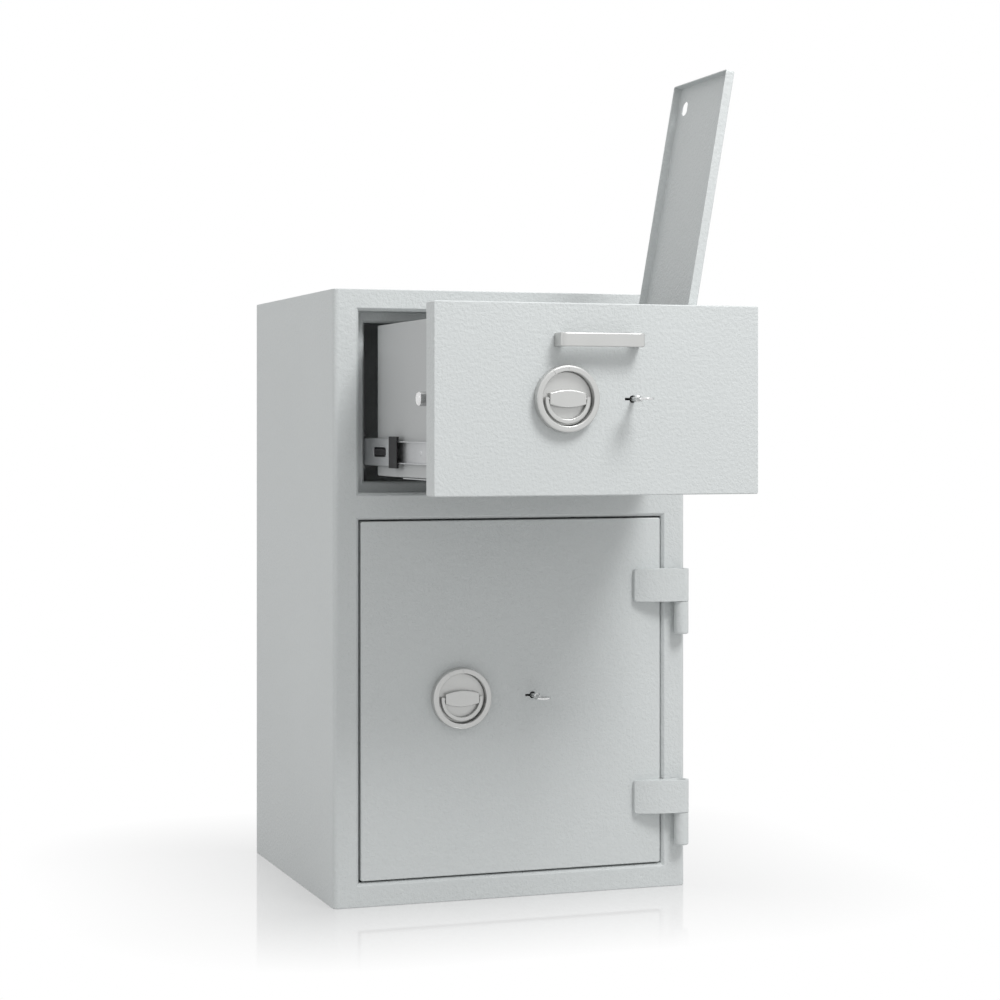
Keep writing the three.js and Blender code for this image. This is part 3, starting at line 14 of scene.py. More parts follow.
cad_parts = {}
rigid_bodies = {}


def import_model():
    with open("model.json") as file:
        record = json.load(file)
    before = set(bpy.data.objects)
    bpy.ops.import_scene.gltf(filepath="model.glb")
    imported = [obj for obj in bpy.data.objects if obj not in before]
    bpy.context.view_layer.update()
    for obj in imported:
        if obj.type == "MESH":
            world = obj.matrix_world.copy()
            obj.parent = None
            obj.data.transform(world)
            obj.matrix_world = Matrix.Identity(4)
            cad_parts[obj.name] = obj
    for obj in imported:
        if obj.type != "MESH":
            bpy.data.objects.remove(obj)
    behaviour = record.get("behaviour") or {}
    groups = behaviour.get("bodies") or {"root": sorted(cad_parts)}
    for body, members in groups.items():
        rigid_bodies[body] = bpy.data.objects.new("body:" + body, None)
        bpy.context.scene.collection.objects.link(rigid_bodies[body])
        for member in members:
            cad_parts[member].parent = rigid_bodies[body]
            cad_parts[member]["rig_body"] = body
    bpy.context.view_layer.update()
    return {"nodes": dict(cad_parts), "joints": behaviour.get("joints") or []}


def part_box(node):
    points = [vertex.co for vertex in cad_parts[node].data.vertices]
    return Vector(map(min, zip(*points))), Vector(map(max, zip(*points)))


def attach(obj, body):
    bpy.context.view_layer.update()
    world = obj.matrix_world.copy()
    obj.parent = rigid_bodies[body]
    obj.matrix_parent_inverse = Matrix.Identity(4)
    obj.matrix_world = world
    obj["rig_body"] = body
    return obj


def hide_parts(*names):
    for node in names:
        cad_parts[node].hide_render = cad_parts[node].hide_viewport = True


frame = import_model()


# Cabinet: double-skinned steel walls and a front frame, welded, ground flush at the corners and
# powder coated in one pass with a fine textured light grey.
class Wire:
    """A socket that is written in sums as a number is."""

    def __init__(self, bench, socket):
        self.bench = bench
        self.socket = socket

    def sum(self, operation, first, second):
        return self.bench.node("ShaderNodeMath", {"operation": operation}, {0: first, 1: second})

    def __add__(self, other):
        return self.sum("ADD", self, other)

    def __radd__(self, other):
        return self.sum("ADD", other, self)

    def __sub__(self, other):
        return self.sum("SUBTRACT", self, other)

    def __rsub__(self, other):
        return self.sum("SUBTRACT", other, self)

    def __mul__(self, other):
        return self.sum("MULTIPLY", self, other)

    def __rmul__(self, other):
        return self.sum("MULTIPLY", other, self)


class Bench:
    """Where the nodes of a material or a world are put together."""

    def __init__(self, owner):
        owner.use_nodes = True
        self.tree = owner.node_tree

    def node(self, kind, settings=None, inputs=None, output=0):
        made = self.tree.nodes.new(kind)
        for key, value in (settings or {}).items():
            setattr(made, key, value)
        for key, value in (inputs or {}).items():
            self.feed(made.inputs[key], value)
        return Wire(self, made.outputs[output])

    def feed(self, socket, value):
        if isinstance(value, Wire):
            self.tree.links.new(value.socket, socket)
        else:
            socket.default_value = value


class Coat(Bench):
    """A material in the making, and the shader that its nodes feed."""

    def __init__(self, name):
        self.material = bpy.data.materials.new(name)
        super().__init__(self.material)
        self.shader = self.tree.nodes["Principled BSDF"]
        self.place = self.node("ShaderNodeTexCoord", output="Object")

    def shade(self, **values):
        for key, value in values.items():
            self.feed(self.shader.inputs[key.replace("_", " ")], value)
        return self.material

    def noise(self, scale, detail=2.0, roughness=0.5, stretch=(1, 1, 1)):
        place = self.place
        if stretch != (1, 1, 1):
            place = self.node("ShaderNodeMapping", None, {"Vector": place, "Scale": stretch})
        return self.node("ShaderNodeTexNoise", None, {
            "Vector": place, "Scale": scale, "Detail": detail, "Roughness": roughness})

    def tint(self, factor, low, high):
        return self.node("ShaderNodeMix", {"data_type": "RGBA"}, {
            "Factor": factor, 6: (*low, 1), 7: (*high, 1)}, output=2)

    def bump(self, height, distance):
        return self.node("ShaderNodeBump", None, {"Height": height, "Distance": distance})


def powder_coat(name, low, high, roughness=0.5, flow=230, depth=0.0010, grain_depth=0.00013):
    """Powder that has flowed into soft lumps a few millimetres wide, with a finer grain on them."""
    coat = Coat(name)
    lumps = coat.noise(flow, 3.0, 0.6)
    grain = coat.noise(flow * 4.5)
    drift = coat.noise(4.0)
    spread = (lumps - 0.5) * 0.55 + (grain - 0.5) * 0.5 + (drift - 0.5) * 0.5 + 0.5
    return coat.shade(
        Base_Color=coat.tint(spread, low, high),
        Roughness=roughness + (grain - 0.5) * 0.2,
        Specular_IOR_Level=0.4,
        Normal=coat.bump(lumps + grain * (grain_depth / depth), depth))


textured_grey = powder_coat("textured_grey", (0.600, 0.628, 0.628), (0.680, 0.706, 0.706))


def placed(axis, at, pair):
    """The point of an outline's pair in a plane square to an axis."""
    return {"x": (at, *pair), "y": (pair[0], at, pair[1]), "z": (*pair, at)}[axis]


def skin(shape, rings):
    """A closed skin through rings of equal counts, capped at both ends."""
    loops = []
    for points in rings:
        corners = [shape.verts.new(point) for point in points]
        loops.append([shape.edges.new((corners[i - 1], corners[i])) for i in range(len(corners))])
    for end in (loops[0], loops[-1]):
        bmesh.ops.contextual_create(shape, geom=end)
    for near, far in zip(loops, loops[1:]):
        bmesh.ops.bridge_loops(shape, edges=near + far)
    return shape


def loft(axis, stations):
    """A body along an axis, from outlines given as (place, pairs)."""
    return skin(bmesh.new(), [[placed(axis, at, pair) for pair in pairs] for at, pairs in stations])


def square(left, right, low, high):
    return [(left, low), (right, low), (right, high), (left, high)]


def rounded(left, right, low, high, radii, steps=4):
    """A rectangle with rounded corners: one radius, or four from the low left round."""
    radii = radii if isinstance(radii, tuple) else (radii,) * 4
    corners = ((left, low, 1, 1), (right, low, -1, 1), (right, high, -1, -1), (left, high, 1, -1))
    pairs = []
    for corner, ((u, v, to_u, to_v), radius) in enumerate(zip(corners, radii)):
        for step in range(steps + 1):
            turn = math.radians(180 + 90 * (corner + step / steps))
            pairs.append((u + to_u * radius + radius * math.cos(turn),
                          v + to_v * radius + radius * math.sin(turn)))
    return pairs


def quarter(radius, steps):
    """How far in and how deep the steps of a rounded edge lie, from the face to the side."""
    turns = [math.pi / 2 * step / steps for step in range(steps + 1)]
    return [(radius - radius * math.sin(turn), radius - radius * math.cos(turn)) for turn in turns]


def slab(low, high):
    low, high = Vector(low), Vector(high)
    shape = bmesh.new()
    bmesh.ops.create_cube(shape, size=1, matrix=Matrix.Translation((low + high) / 2)
                          @ Matrix.Diagonal((*(high - low), 1)))
    return shape


towards = {"x": Matrix.Rotation(math.pi / 2, 4, "Y"), "y": Matrix.Rotation(-math.pi / 2, 4, "X"),
           "z": Matrix.Identity(4)}


def rod(axis, centre, low, high, radius, steps=32):
    shape = bmesh.new()
    bmesh.ops.create_cone(
        shape, cap_ends=True, segments=steps, radius1=radius, radius2=radius, depth=high - low,
        matrix=Matrix.Translation(placed(axis, (low + high) / 2, centre)) @ towards[axis])
    return shape


def as_blank(shape):
    bmesh.ops.remove_doubles(shape, verts=shape.verts, dist=1e-6)
    bmesh.ops.recalc_face_normals(shape, faces=shape.faces)
    mesh = bpy.data.meshes.new("blank")
    shape.to_mesh(mesh)
    shape.free()
    blank = bpy.data.objects.new("blank", mesh)
    bpy.context.scene.collection.objects.link(blank)
    return blank


def worked(shape, tools, operation):
    """The shape after each tool has been cut from it, joined to it or crossed with it."""
    for tool in tools:
        blank, cutter = as_blank(shape), as_blank(tool)
        cut = blank.modifiers.new("cut", "BOOLEAN")
        cut.object = cutter
        cut.operation = operation
        cut.solver = "EXACT"
        shape = bmesh.new()
        shape.from_object(blank, bpy.context.evaluated_depsgraph_get())
        for used in (blank, cutter):
            mesh = used.data
            bpy.data.objects.remove(used)
            bpy.data.meshes.remove(mesh)
    return shape


def carved(shape, *tools):
    return worked(shape, tools, "DIFFERENCE")


def finish_piece(name, shape, material, *nodes, edge=0.0003, crease=32, rounds=2):
    """The piece takes the place of its nodes: edges eased, flats shaded flat."""
    bmesh.ops.remove_doubles(shape, verts=shape.verts, dist=1e-6)
    bmesh.ops.dissolve_degenerate(shape, dist=1e-5, edges=shape.edges)
    bmesh.ops.recalc_face_normals(shape, faces=shape.faces)
    mesh = bpy.data.meshes.new(name)
    shape.to_mesh(mesh)
    shape.free()
    mesh.shade_smooth()
    mesh.materials.append(material)
    piece = bpy.data.objects.new(name, mesh)
    bpy.context.scene.collection.objects.link(piece)
    if edge:
        easing = piece.modifiers.new("eased_edges", "BEVEL")
        easing.width = edge
        easing.segments = rounds
        easing.limit_method = "ANGLE"
        easing.angle_limit = math.radians(crease)
    else:
        mesh.set_sharp_from_angle(angle=math.radians(crease))
    shading = piece.modifiers.new("even_shading", "WEIGHTED_NORMAL")
    shading.keep_sharp = True
    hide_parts(*nodes)
    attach(piece, frame["nodes"][nodes[0]]["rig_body"])


Corner = collections.namedtuple("Corner", "x y z")


def box_of(node):
    """A node's low and high corners, to a hundredth of a millimetre."""
    return [Corner(*(round(place, 5) for place in corner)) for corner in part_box(node)]


overrun = 0.010
wall_low, wall_high = box_of("side_wall_left")
stile_low, stile_high = box_of("front_stile_left")
cabinet_half, cabinet_top = -wall_low.x, wall_high.z
cabinet_front, cabinet_rear = stile_low.y, wall_high.y
wall, frame_rear = wall_high.x - wall_low.x, stile_high.y
front_corner, rear_corner, end_edge = 0.007, 0.003, 0.0012
mouth_half, mouth_bevel, rebate_depth = 0.2175, 0.004, 0.034
side_lip, cross_lip, lip_bevel = 0.0165, 0.0142, 0.003
anchor_radius, base_anchor_y, back_anchor_z = 0.007, 0.110, 0.180


def cabinet_outline(inset):
    radii = tuple(corner - inset for corner in (front_corner, front_corner, rear_corner, rear_corner))
    return rounded(inset - cabinet_half, cabinet_half - inset, cabinet_front + inset,
                   cabinet_rear - inset, radii, 6)


def mouth(rail_under, rail_over):
    """What an opening takes from the frame between two rails: bevelled mouth, rebate and lip."""
    low, high = box_of(rail_under)[1].z - cross_lip, box_of(rail_over)[0].z + cross_lip
    flare, rebate = 0.0015, cabinet_front + rebate_depth
    steps = ((cabinet_front - flare, mouth_bevel + flare, mouth_bevel + flare),
             (cabinet_front + mouth_bevel, 0, 0),
             (rebate, 0, 0),
             (rebate, lip_bevel - side_lip, lip_bevel - cross_lip),
             (rebate + lip_bevel, -side_lip, -cross_lip),
             (frame_rear + overrun, -side_lip, -cross_lip))
    return loft("y", [(y, square(-mouth_half - wide, mouth_half + wide, low - tall, high + tall))
                      for y, wide, tall in steps])


end_steps = quarter(end_edge, 4)
cabinet = loft("z", [(depth, cabinet_outline(inset)) for inset, depth in end_steps]
               + [(cabinet_top - depth, cabinet_outline(inset)) for inset, depth in reversed(end_steps)])
cabinet = carved(
    cabinet,
    mouth("front_sill_rail", "front_middle_rail"),
    mouth("front_middle_rail", "front_head_rail"),
    slab((wall - cabinet_half, frame_rear, wall),
         (cabinet_half - wall, cabinet_rear - wall, cabinet_top - wall)),
    rod("z", (0, base_anchor_y), -overrun, wall + overrun, anchor_radius),
    rod("y", (0, back_anchor_z), cabinet_rear - wall - overrun, cabinet_rear + overrun, anchor_radius))
finish_piece("cabinet_shell", cabinet, textured_grey, "front_stile_left", "front_stile_right",
             "front_sill_rail", "front_middle_rail", "front_head_rail", "side_wall_left",
             "side_wall_right", "roof_panel", "base_panel", "back_wall", edge=0.0006)


# Shelf between the drawer and the lower compartment: one folded sheet with the drop opening cut in it,
# in the smooth lighter coat of everything inside.
inner_grey = powder_coat("inner_grey", (0.470, 0.484, 0.486), (0.530, 0.543, 0.544), 0.42, 420,
                         0.00006, 0.00002)


def copied(node):
    """A node's shape with its loose triangles merged into whole faces."""
    shape = bmesh.new()
    shape.from_mesh(frame["nodes"][node].data)
    bmesh.ops.remove_doubles(shape, verts=shape.verts, dist=1e-6)
    bmesh.ops.dissolve_limit(shape, angle_limit=math.radians(0.5), verts=shape.verts, edges=shape.edges)
    return shape


def refined(name, node, material, edge=0.0003):
    finish_piece(name, copied(node), material, node, edge=edge)


refined("drop_shelf", "divider_shelf", inner_grey, 0.0004)


# Full extension slides: three rolled channels a side, zinc plated, the outer one on a folded bracket.
# The drawer's member is held to the tray by two low domed screws.
def plated(name, low, high, metallic, roughness, stretch=(1, 1, 1), grain=900, depth=0.00002):
    """Metal with fine lines from rolling, grinding or turning under its plating or lacquer."""
    coat = Coat(name)
    lines = coat.noise(grain, 2.0, 0.6, stretch)
    drift = coat.noise(30.0)
    return coat.shade(
        Base_Color=coat.tint(lines * 0.6 + drift * 0.4, low, high),
        Metallic=metallic,
        Roughness=roughness + (lines - 0.5) * 0.2,
        Normal=coat.bump(lines, depth))


zinc_steel = plated("zinc_steel", (0.45, 0.46, 0.47), (0.62, 0.63, 0.64), 0.75, 0.36, (1, 0.08, 1))


def centre_of(node):
    """The middle of a node's box."""
    return Corner(*(round((low + high) / 2, 5) for low, high in zip(*box_of(node))))


sides = (("left", -1), ("right", 1))
slide_height = centre_of("slide_cabinet_member_left").z
member_sheet = 0.0012
screw_places = (-0.412, -0.475)
screw_outline = ((0, 0.0013), (0.0016, 0.0012), (0.0030, 0.0008), (0.0038, 0.0003), (0.0040, -0.0006),
                 (0, -0.0006))
cross_arm, cross_half, cross_depth = 0.0017, 0.0004, 0.0007


def turned(axis, centre, profile, steps=64, closed=False):
    """A profile of (radius, place) pairs spun about a line along the axis."""
    shape = bmesh.new()
    corners = [shape.verts.new((radius, 0, place)) for radius, place in profile]
    joints = list(zip(corners, corners[1:] + (corners[:1] if closed else [])))
    edges = [shape.edges.new(joint) for joint in joints]
    bmesh.ops.spin(shape, geom=corners + edges, cent=(0, 0, 0), axis=(0, 0, 1), angle=2 * math.pi,
                   steps=steps, use_merge=True)
    bmesh.ops.remove_doubles(shape, verts=shape.verts, dist=1e-6)
    bmesh.ops.transform(shape, verts=shape.verts,
                        matrix=Matrix.Translation(placed(axis, 0, centre)) @ towards[axis])
    return shape


def welded(shape, *parts):
    return worked(shape, parts, "UNION")


def across(node):
    """Where a side piece's inner and outer faces stand, the inner one nearer the drawer."""
    return sorted((corner.x for corner in box_of(node)), key=abs)


def domed_screw(side, web, y):
    """A low dome with a cross slot, its head resting on the drawer's member."""
    head = turned("x", (y, slide_height), [(radius, web + side * rise) for radius, rise in screw_outline],
                  24)
    tip = web + side * screw_outline[0][1]
    low, high = sorted((tip - side * cross_depth, tip + side * cross_depth))
    return carved(head, *[slab((low, y - wide, slide_height - tall), (high, y + wide, slide_height + tall))
                          for wide, tall in ((cross_arm, cross_half), (cross_half, cross_arm))])


for hand, side in sides:
    refined(f"outer_slide_{hand}", f"slide_cabinet_member_{hand}", zinc_steel, 0.0002)
    refined(f"middle_slide_{hand}", f"slide_middle_member_{hand}", zinc_steel, 0.0002)
    member_face = across(f"slide_drawer_member_{hand}")[0] + side * member_sheet
    inner_slide = welded(copied(f"slide_drawer_member_{hand}"),
                         *[domed_screw(side, member_face, y) for y in screw_places])
    finish_piece(f"inner_slide_{hand}", inner_slide, zinc_steel, f"slide_drawer_member_{hand}", edge=0)


# Ball cages, two a side: a pressed zinc plated strip above and below, each with a row of steel balls,
# joined by a thin bridge at the front.
cage_web, cage_strip, bridge_length, end_share = 0.0004, 0.0010, 0.005, 0.4


def ball_cage(name, node, side, middle, ball_radius, balls):
    low, high = box_of(node)
    outer = across(node)[1]
    web_low, web_high = sorted((outer - side * cage_web, outer))
    bridge = slab((web_low, low.y, slide_height - middle),
                  (web_high, low.y + bridge_length, slide_height + middle))
    levels = (slide_height - middle, slide_height + middle)
    strips = [slab((low.x, low.y, level - cage_strip / 2), (high.x, high.y, level + cage_strip / 2))
              for level in levels]
    cage = welded(bridge, *strips)
    pitch = (high.y - low.y) / (balls + end_share)
    for level in levels:
        for count in range(balls):
            y = low.y + pitch * (count + 0.5 + end_share / 2)
            bmesh.ops.create_uvsphere(cage, u_segments=12, v_segments=8, radius=ball_radius,
                                      matrix=Matrix.Translation(((low.x + high.x) / 2, y, level)))
    finish_piece(name, cage, zinc_steel, node, edge=0)


for hand, side in sides:
    ball_cage(f"outer_balls_{hand}", f"slide_outer_cage_{hand}", side, 0.0199, 0.0011, 8)
    ball_cage(f"inner_balls_{hand}", f"slide_inner_cage_{hand}", side, 0.015825, 0.001175, 6)


# End stop and release lever of each slide: matt black mouldings, the stop hooked over the front end
# of the middle channel.
black_coat = Coat("black_plastic")
black_grain = black_coat.noise(1500)
black_plastic = black_coat.shade(
    Base_Color=black_coat.tint(black_grain, (0.010, 0.010, 0.011), (0.026, 0.026, 0.028)),
    Roughness=0.5 + (black_grain - 0.5) * 0.2,
    Specular_IOR_Level=0.2,
    Normal=black_coat.bump(black_grain, 0.00003))
stop_reach, stop_hook, stop_sheet = 0.0032, 0.0056, 0.0012


def end_stop(node, side):
    low, high = box_of(node)
    back = across(node)[1]
    lip, sheet = back - side * stop_reach, back - side * stop_sheet
    outer = (high.z - low.z) / 2
    inner = outer - stop_hook
    outline = [(x, slide_height + z) for x, z in (
        (back, outer), (lip, outer), (lip, inner), (sheet, inner), (sheet, -inner), (lip, -inner),
        (lip, -outer), (back, -outer))]
    return loft("y", [(low.y, outline), (high.y, outline)])


for hand, side in sides:
    finish_piece(f"end_stop_{hand}", end_stop(f"slide_bumper_{hand}", side), black_plastic,
                 f"slide_bumper_{hand}", edge=0.0006)
    refined(f"release_lever_{hand}", f"slide_lever_{hand}", black_plastic, 0.0004)


# Tray: folded sheet, open above, its floor cut out over the trap. The rear is closed by a fixed cover
# that carries the lid's hinge.
refined("tray_body", "drawer_tray", inner_grey, 0.0004)
refined("tray_cover", "tray_top_cover", inner_grey, 0.0002)


# Trap under the tray's floor: a frame sheet, and a sprung flap that hangs from a pin across it, so
# that what is laid in the drawer falls through when it shuts.
refined("trap_surround", "trap_frame", inner_grey, 0.0003)
refined("trap_door", "trap_flap", inner_grey, 0.0003)


# Drawer front: a boxed pan with rounded front edges, pierced for the knob and the key, and coated
# as the cabinet is.
front_sheet, front_wall, fold_radius, pan_corner, front_edge = 0.005, 0.003, 0.0005, 0.0025, 0.0016
spindle_bore, key_bore, bit_slot, bit_slot_half = 0.007, 0.0047, 0.0105, 0.0015


def boxed_front(node, knob, key):
    low, high = box_of(node)
    before = low.y - overrun
    inside = rounded(low.x + front_wall, high.x - front_wall, low.z + front_wall, high.z - front_wall,
                     fold_radius)

    def outline(inset):
        return rounded(low.x + inset, high.x - inset, low.z + inset, high.z - inset, pan_corner - inset)

    pan = loft("y", [(high.y, outline(0))]
               + [(low.y + depth, outline(inset)) for inset, depth in reversed(quarter(front_edge, 4))])
    return carved(pan, loft("y", [(low.y + front_sheet, inside), (high.y + overrun, inside)]),
                  rod("y", (knob.x, knob.z), before, high.y, spindle_bore),
                  rod("y", (key.x, key.z), before, high.y, key_bore),
                  slab((key.x - bit_slot, before, key.z - bit_slot_half),
                       (key.x + bit_slot, high.y, key.z + bit_slot_half)))


drawer_knob, drawer_keyhole = centre_of("drawer_handle_ring"), centre_of("drawer_key")
finish_piece("drawer_front", boxed_front("drawer_front_panel", drawer_knob, drawer_keyhole),
             textured_grey, "drawer_front_panel", edge=0.00025)


# Boltwork of the drawer, on a plate inside the front and behind a folded cover: two turned bolts, each
# welded to a flat bar, drawn by a lever on the knob's spindle. Bright nickel plate.
bolt_steel = plated("bolt_steel", (0.62, 0.63, 0.63), (0.78, 0.78, 0.78), 0.9, 0.24)
bolt_radius, bolt_length, weld_seam = 0.009, 0.060, 0.0001
bolt_nose = ((0, 0.0003), (0.0045, 0.0001), (0.0071, 0), (0.0075, 0.0001), (0.0088, 0.0015),
             (bolt_radius, 0.0018))


def round_bolt(side, tip, y, z):
    """A turned bolt with a chamfered, slightly dished nose."""
    profile = [*bolt_nose, (bolt_radius, bolt_length), (0, bolt_length)]
    return turned("x", (y, z), [(reach, side * (tip - depth)) for reach, depth in profile], 48)


def barred_bolt(node, side, z):
    """A copy of the bar without its plain bolt, and the turned bolt welded on."""
    bar, tip = copied(node), abs(across(node)[1])
    bmesh.ops.bisect_plane(bar, geom=[*bar.verts, *bar.edges, *bar.faces], dist=1e-7,
                           plane_co=(side * (tip - bolt_length - weld_seam), 0, 0), plane_no=(side, 0, 0),
                           clear_outer=True)
    bmesh.ops.holes_fill(bar, edges=[edge for edge in bar.edges if edge.is_boundary], sides=0)
    return welded(bar, round_bolt(side, tip, centre_of(node).y, z))


refined("drawer_boltwork_plate", "drawer_back_plate", inner_grey, 0.0003)
refined("boltwork_guard", "boltwork_cover", inner_grey, 0.0003)
refined("drawer_lever", "drawer_spindle", bolt_steel, 0.0004)
for hand, side in sides:
    finish_piece(f"drawer_bar_{hand}", barred_bolt(f"drawer_bolt_{hand}", side, drawer_knob.z), bolt_steel,
                 f"drawer_bolt_{hand}", edge=0.0002)
refined("drawer_lock_body", "drawer_lock_case", zinc_steel, 0.0006)
refined("drawer_lock_tongue", "drawer_lock_bolt", bolt_steel, 0.0004)
refined("drawer_keyway", "drawer_lock_curtain", bolt_steel, 0.0003)


# Pull handle: a die cast bow with square feet, ground and lacquered satin silver, and screwed on from
# inside the drawer's front.
satin_silver = plated("satin_silver", (0.52, 0.53, 0.52), (0.64, 0.64, 0.63), 0.6, 0.36)
pull_low, pull_high = box_of("drawer_pull_handle")
pull_left, pull_right, pull_front, pull_seat = pull_low.x, pull_high.x, pull_low.y, pull_high.y
pull_bar, pull_leg, pull_corner, pull_inner, pull_edge = 0.008, 0.010, 0.009, 0.0045, 0.0015


def bend(start, control, end, steps):
    """The points of a curved corner after its start."""
    shares = [step / steps for step in range(1, steps + 1)]
    return [tuple((1 - t) ** 2 * a + 2 * t * (1 - t) * b + t * t * c
                  for a, b, c in zip(start, control, end)) for t in shares]


def rimmed_plate(axis, pairs, low, high, edge, kept=None):
    """An outline given its thickness, with both rims rounded, except where kept says square."""
    shape = bmesh.new()
    face = shape.faces.new([shape.verts.new(placed(axis, low, pair)) for pair in pairs])
    grown = bmesh.ops.extrude_face_region(shape, geom=[face])["geom"]
    bmesh.ops.translate(shape, verts=[item for item in grown if isinstance(item, bmesh.types.BMVert)],
                        vec=placed(axis, high - low, (0, 0)))
    along = "xyz".index(axis)
    rims = [rim for rim in shape.edges
            if abs(rim.verts[0].co[along] - rim.verts[1].co[along]) < 1e-7
            and not (kept and all(kept(corner.co) for corner in rim.verts))]
    bmesh.ops.bevel(shape, geom=rims, offset=edge, offset_type="OFFSET", segments=3, profile=0.5,
                    affect="EDGES", material=-1, clamp_overlap=True)
    return shape


pull_outline = [(pull_left, pull_seat), (pull_left, pull_front + pull_corner)]
pull_outline += bend(pull_outline[-1], (pull_left, pull_front), (pull_left + pull_corner, pull_front), 8)
pull_outline += [(pull_right - pull_corner, pull_front)]
pull_outline += bend(pull_outline[-1], (pull_right, pull_front), (pull_right, pull_front + pull_corner), 8)
pull_outline += [(pull_right, pull_seat), (pull_right - pull_leg, pull_seat),
                 (pull_right - pull_leg, pull_front + pull_bar + pull_inner)]
pull_outline += bend(pull_outline[-1], (pull_right - pull_leg, pull_front + pull_bar),
                     (pull_right - pull_leg - pull_inner, pull_front + pull_bar), 5)
pull_outline += [(pull_left + pull_leg + pull_inner, pull_front + pull_bar)]
pull_outline += bend(pull_outline[-1], (pull_left + pull_leg, pull_front + pull_bar),
                     (pull_left + pull_leg, pull_front + pull_bar + pull_inner), 5)
pull_outline += [(pull_left + pull_leg, pull_seat)]
pull = rimmed_plate("z", pull_outline, pull_low.z, pull_high.z, pull_edge,
                    lambda point: abs(point.y - pull_seat) < 1e-6)
finish_piece("pull_bow", pull, satin_silver, "drawer_pull_handle", edge=0, crease=40)


# Ring handle, the same on drawer and door: a fixed ring with two marks, a dish that turns in it with a
# lens-shaped bar across, and a bail that folds into the dish. Die cast, satin silver.
ring_bore, ring_edge, bore_edge = 0.0335, 0.0026, 0.0014
mark_turns, mark_half, mark_depth, mark_start, mark_end = (0, -30), 0.0004, 0.0005, 0.0348, 0.0398
lens_half, lens_end, lens_crown, lens_edge = 0.0238, 0.007, 0.004, 0.0016
dish_floor, dish_chamfer, lens_root = 0.0027, 0.0006, 0.0017
bail_half, bail_round, bail_rise = 0.0023, 0.0011, 0.0020
pin_socket, bail_pin = (0.0185, 0.0260, 0.0018), (0.0190, 0.0262, 0.0015)
bail_inner, bail_outer, inner_swell, outer_swell = 0.0245, 0.0294, 0.0005, 0.0012


def handle_ring(node):
    low, high = box_of(node)
    centre, outer = centre_of(node), (high.x - low.x) / 2
    profile = [(ring_bore, high.y), (outer, high.y)]
    profile += [(outer - inset, low.y + depth) for inset, depth in reversed(quarter(ring_edge, 5))]
    profile += [(ring_bore + inset, low.y + depth) for inset, depth in quarter(bore_edge, 4)]
    ring = turned("y", (centre.x, centre.z), profile, 96, closed=True)
    marks = []
    for turn in mark_turns:
        mark = slab((-mark_half, low.y - mark_depth, mark_start), (mark_half, low.y + mark_depth, mark_end))
        place = Matrix.Translation((centre.x, 0, centre.z)) @ Matrix.Rotation(math.radians(turn), 4, "Y")
        bmesh.ops.transform(mark, verts=mark.verts, matrix=place)
        marks.append(mark)
    return carved(ring, *marks)


def lens_outline(centre, inset):
    x, z, half, end = centre.x, centre.z, lens_half - inset, lens_end - inset
    low = [(x - half, z - end)]
    low += bend(low[0], (x, z - end - 2 * lens_crown), (x + half, z - end), 14)
    high = [(x + half, z + end)]
    high += bend(high[0], (x, z + end + 2 * lens_crown), (x - half, z + end), 14)
    return low + high


def cross_pins(centre, depth, start, end, radius):
    """Short rods across a handle, at either side of its middle."""
    return [rod("x", (depth, centre.z), *sorted((centre.x + side * start, centre.x + side * end)),
                radius, 16) for side in (-1, 1)]


def handle_dish(node, pin_depth):
    low, high = box_of(node)
    centre, radius, floor = centre_of(node), (high.x - low.x) / 2, high.y - dish_floor
    dish = turned("y", (centre.x, centre.z), [(0, high.y), (radius, high.y), (radius, floor + dish_chamfer),
                                              (radius - dish_chamfer, floor), (0, floor)], 96)
    bar = loft("y", [(floor + lens_root, lens_outline(centre, 0))]
               + [(low.y + depth, lens_outline(centre, inset))
                  for inset, depth in reversed(quarter(lens_edge, 4))])
    return carved(welded(dish, bar), *cross_pins(centre, pin_depth, *pin_socket))


def handle_bail(centre, pin_depth):
    """A half round bow, wider at the bottom, on two short legs with pins turned inwards."""
    def section(turn, rise):
        spread, lean = math.sin(turn), math.pi + turn
        inner, outer = bail_inner + inner_swell * spread, bail_outer + outer_swell * spread
        return [(centre.x + reach * math.cos(lean), depth, centre.z + rise + reach * math.sin(lean))
                for reach, depth in rounded(inner, outer, pin_depth - bail_half, pin_depth + bail_half,
                                            bail_round, 3)]

    rings = [section(0, bail_rise)]
    rings += [section(math.pi * step / 32, 0) for step in range(33)]
    rings.append(section(math.pi, bail_rise))
    return welded(skin(bmesh.new(), rings), *cross_pins(centre, pin_depth, *bail_pin))


def ring_handle(front):
    ring, dish, bail = f"{front}_handle_ring", f"{front}_handle_dish", f"{front}_bail"
    pin_depth = centre_of(bail).y
    finish_piece(f"{front}_ring", handle_ring(ring), satin_silver, ring, edge=0)
    finish_piece(f"{front}_dish", handle_dish(dish, pin_depth), satin_silver, dish, edge=0)
    finish_piece(f"{front}_bail_bow", handle_bail(centre_of(ring), pin_depth), satin_silver, bail,
                 edge=0, crease=50)


ring_handle("drawer")


# Keys: double-bitted, with a long round stem and an oval bow pierced with one hole. Steel, nickel
# plated; one stands in each lock.
bow_length, bow_half, bow_edge, bow_hole = 0.026, 0.0013, 0.0006, 0.0042
stem_start = ((0, -0.0045), (0.0022, -0.0040), (0.0030, -0.0025), (0.0030, 0.0060), (0.0039, 0.0064),
              (0.0039, 0.0084), (0.0030, 0.0088))
tip_radius, tip_chamfer = 0.0022, 0.0010
bit_reach, bit_half, bit_length = 0.0101, 0.0011, 0.008
ward_reach, ward_half, ward_shares = 0.0016, 0.0004, (0.3, 0.7)


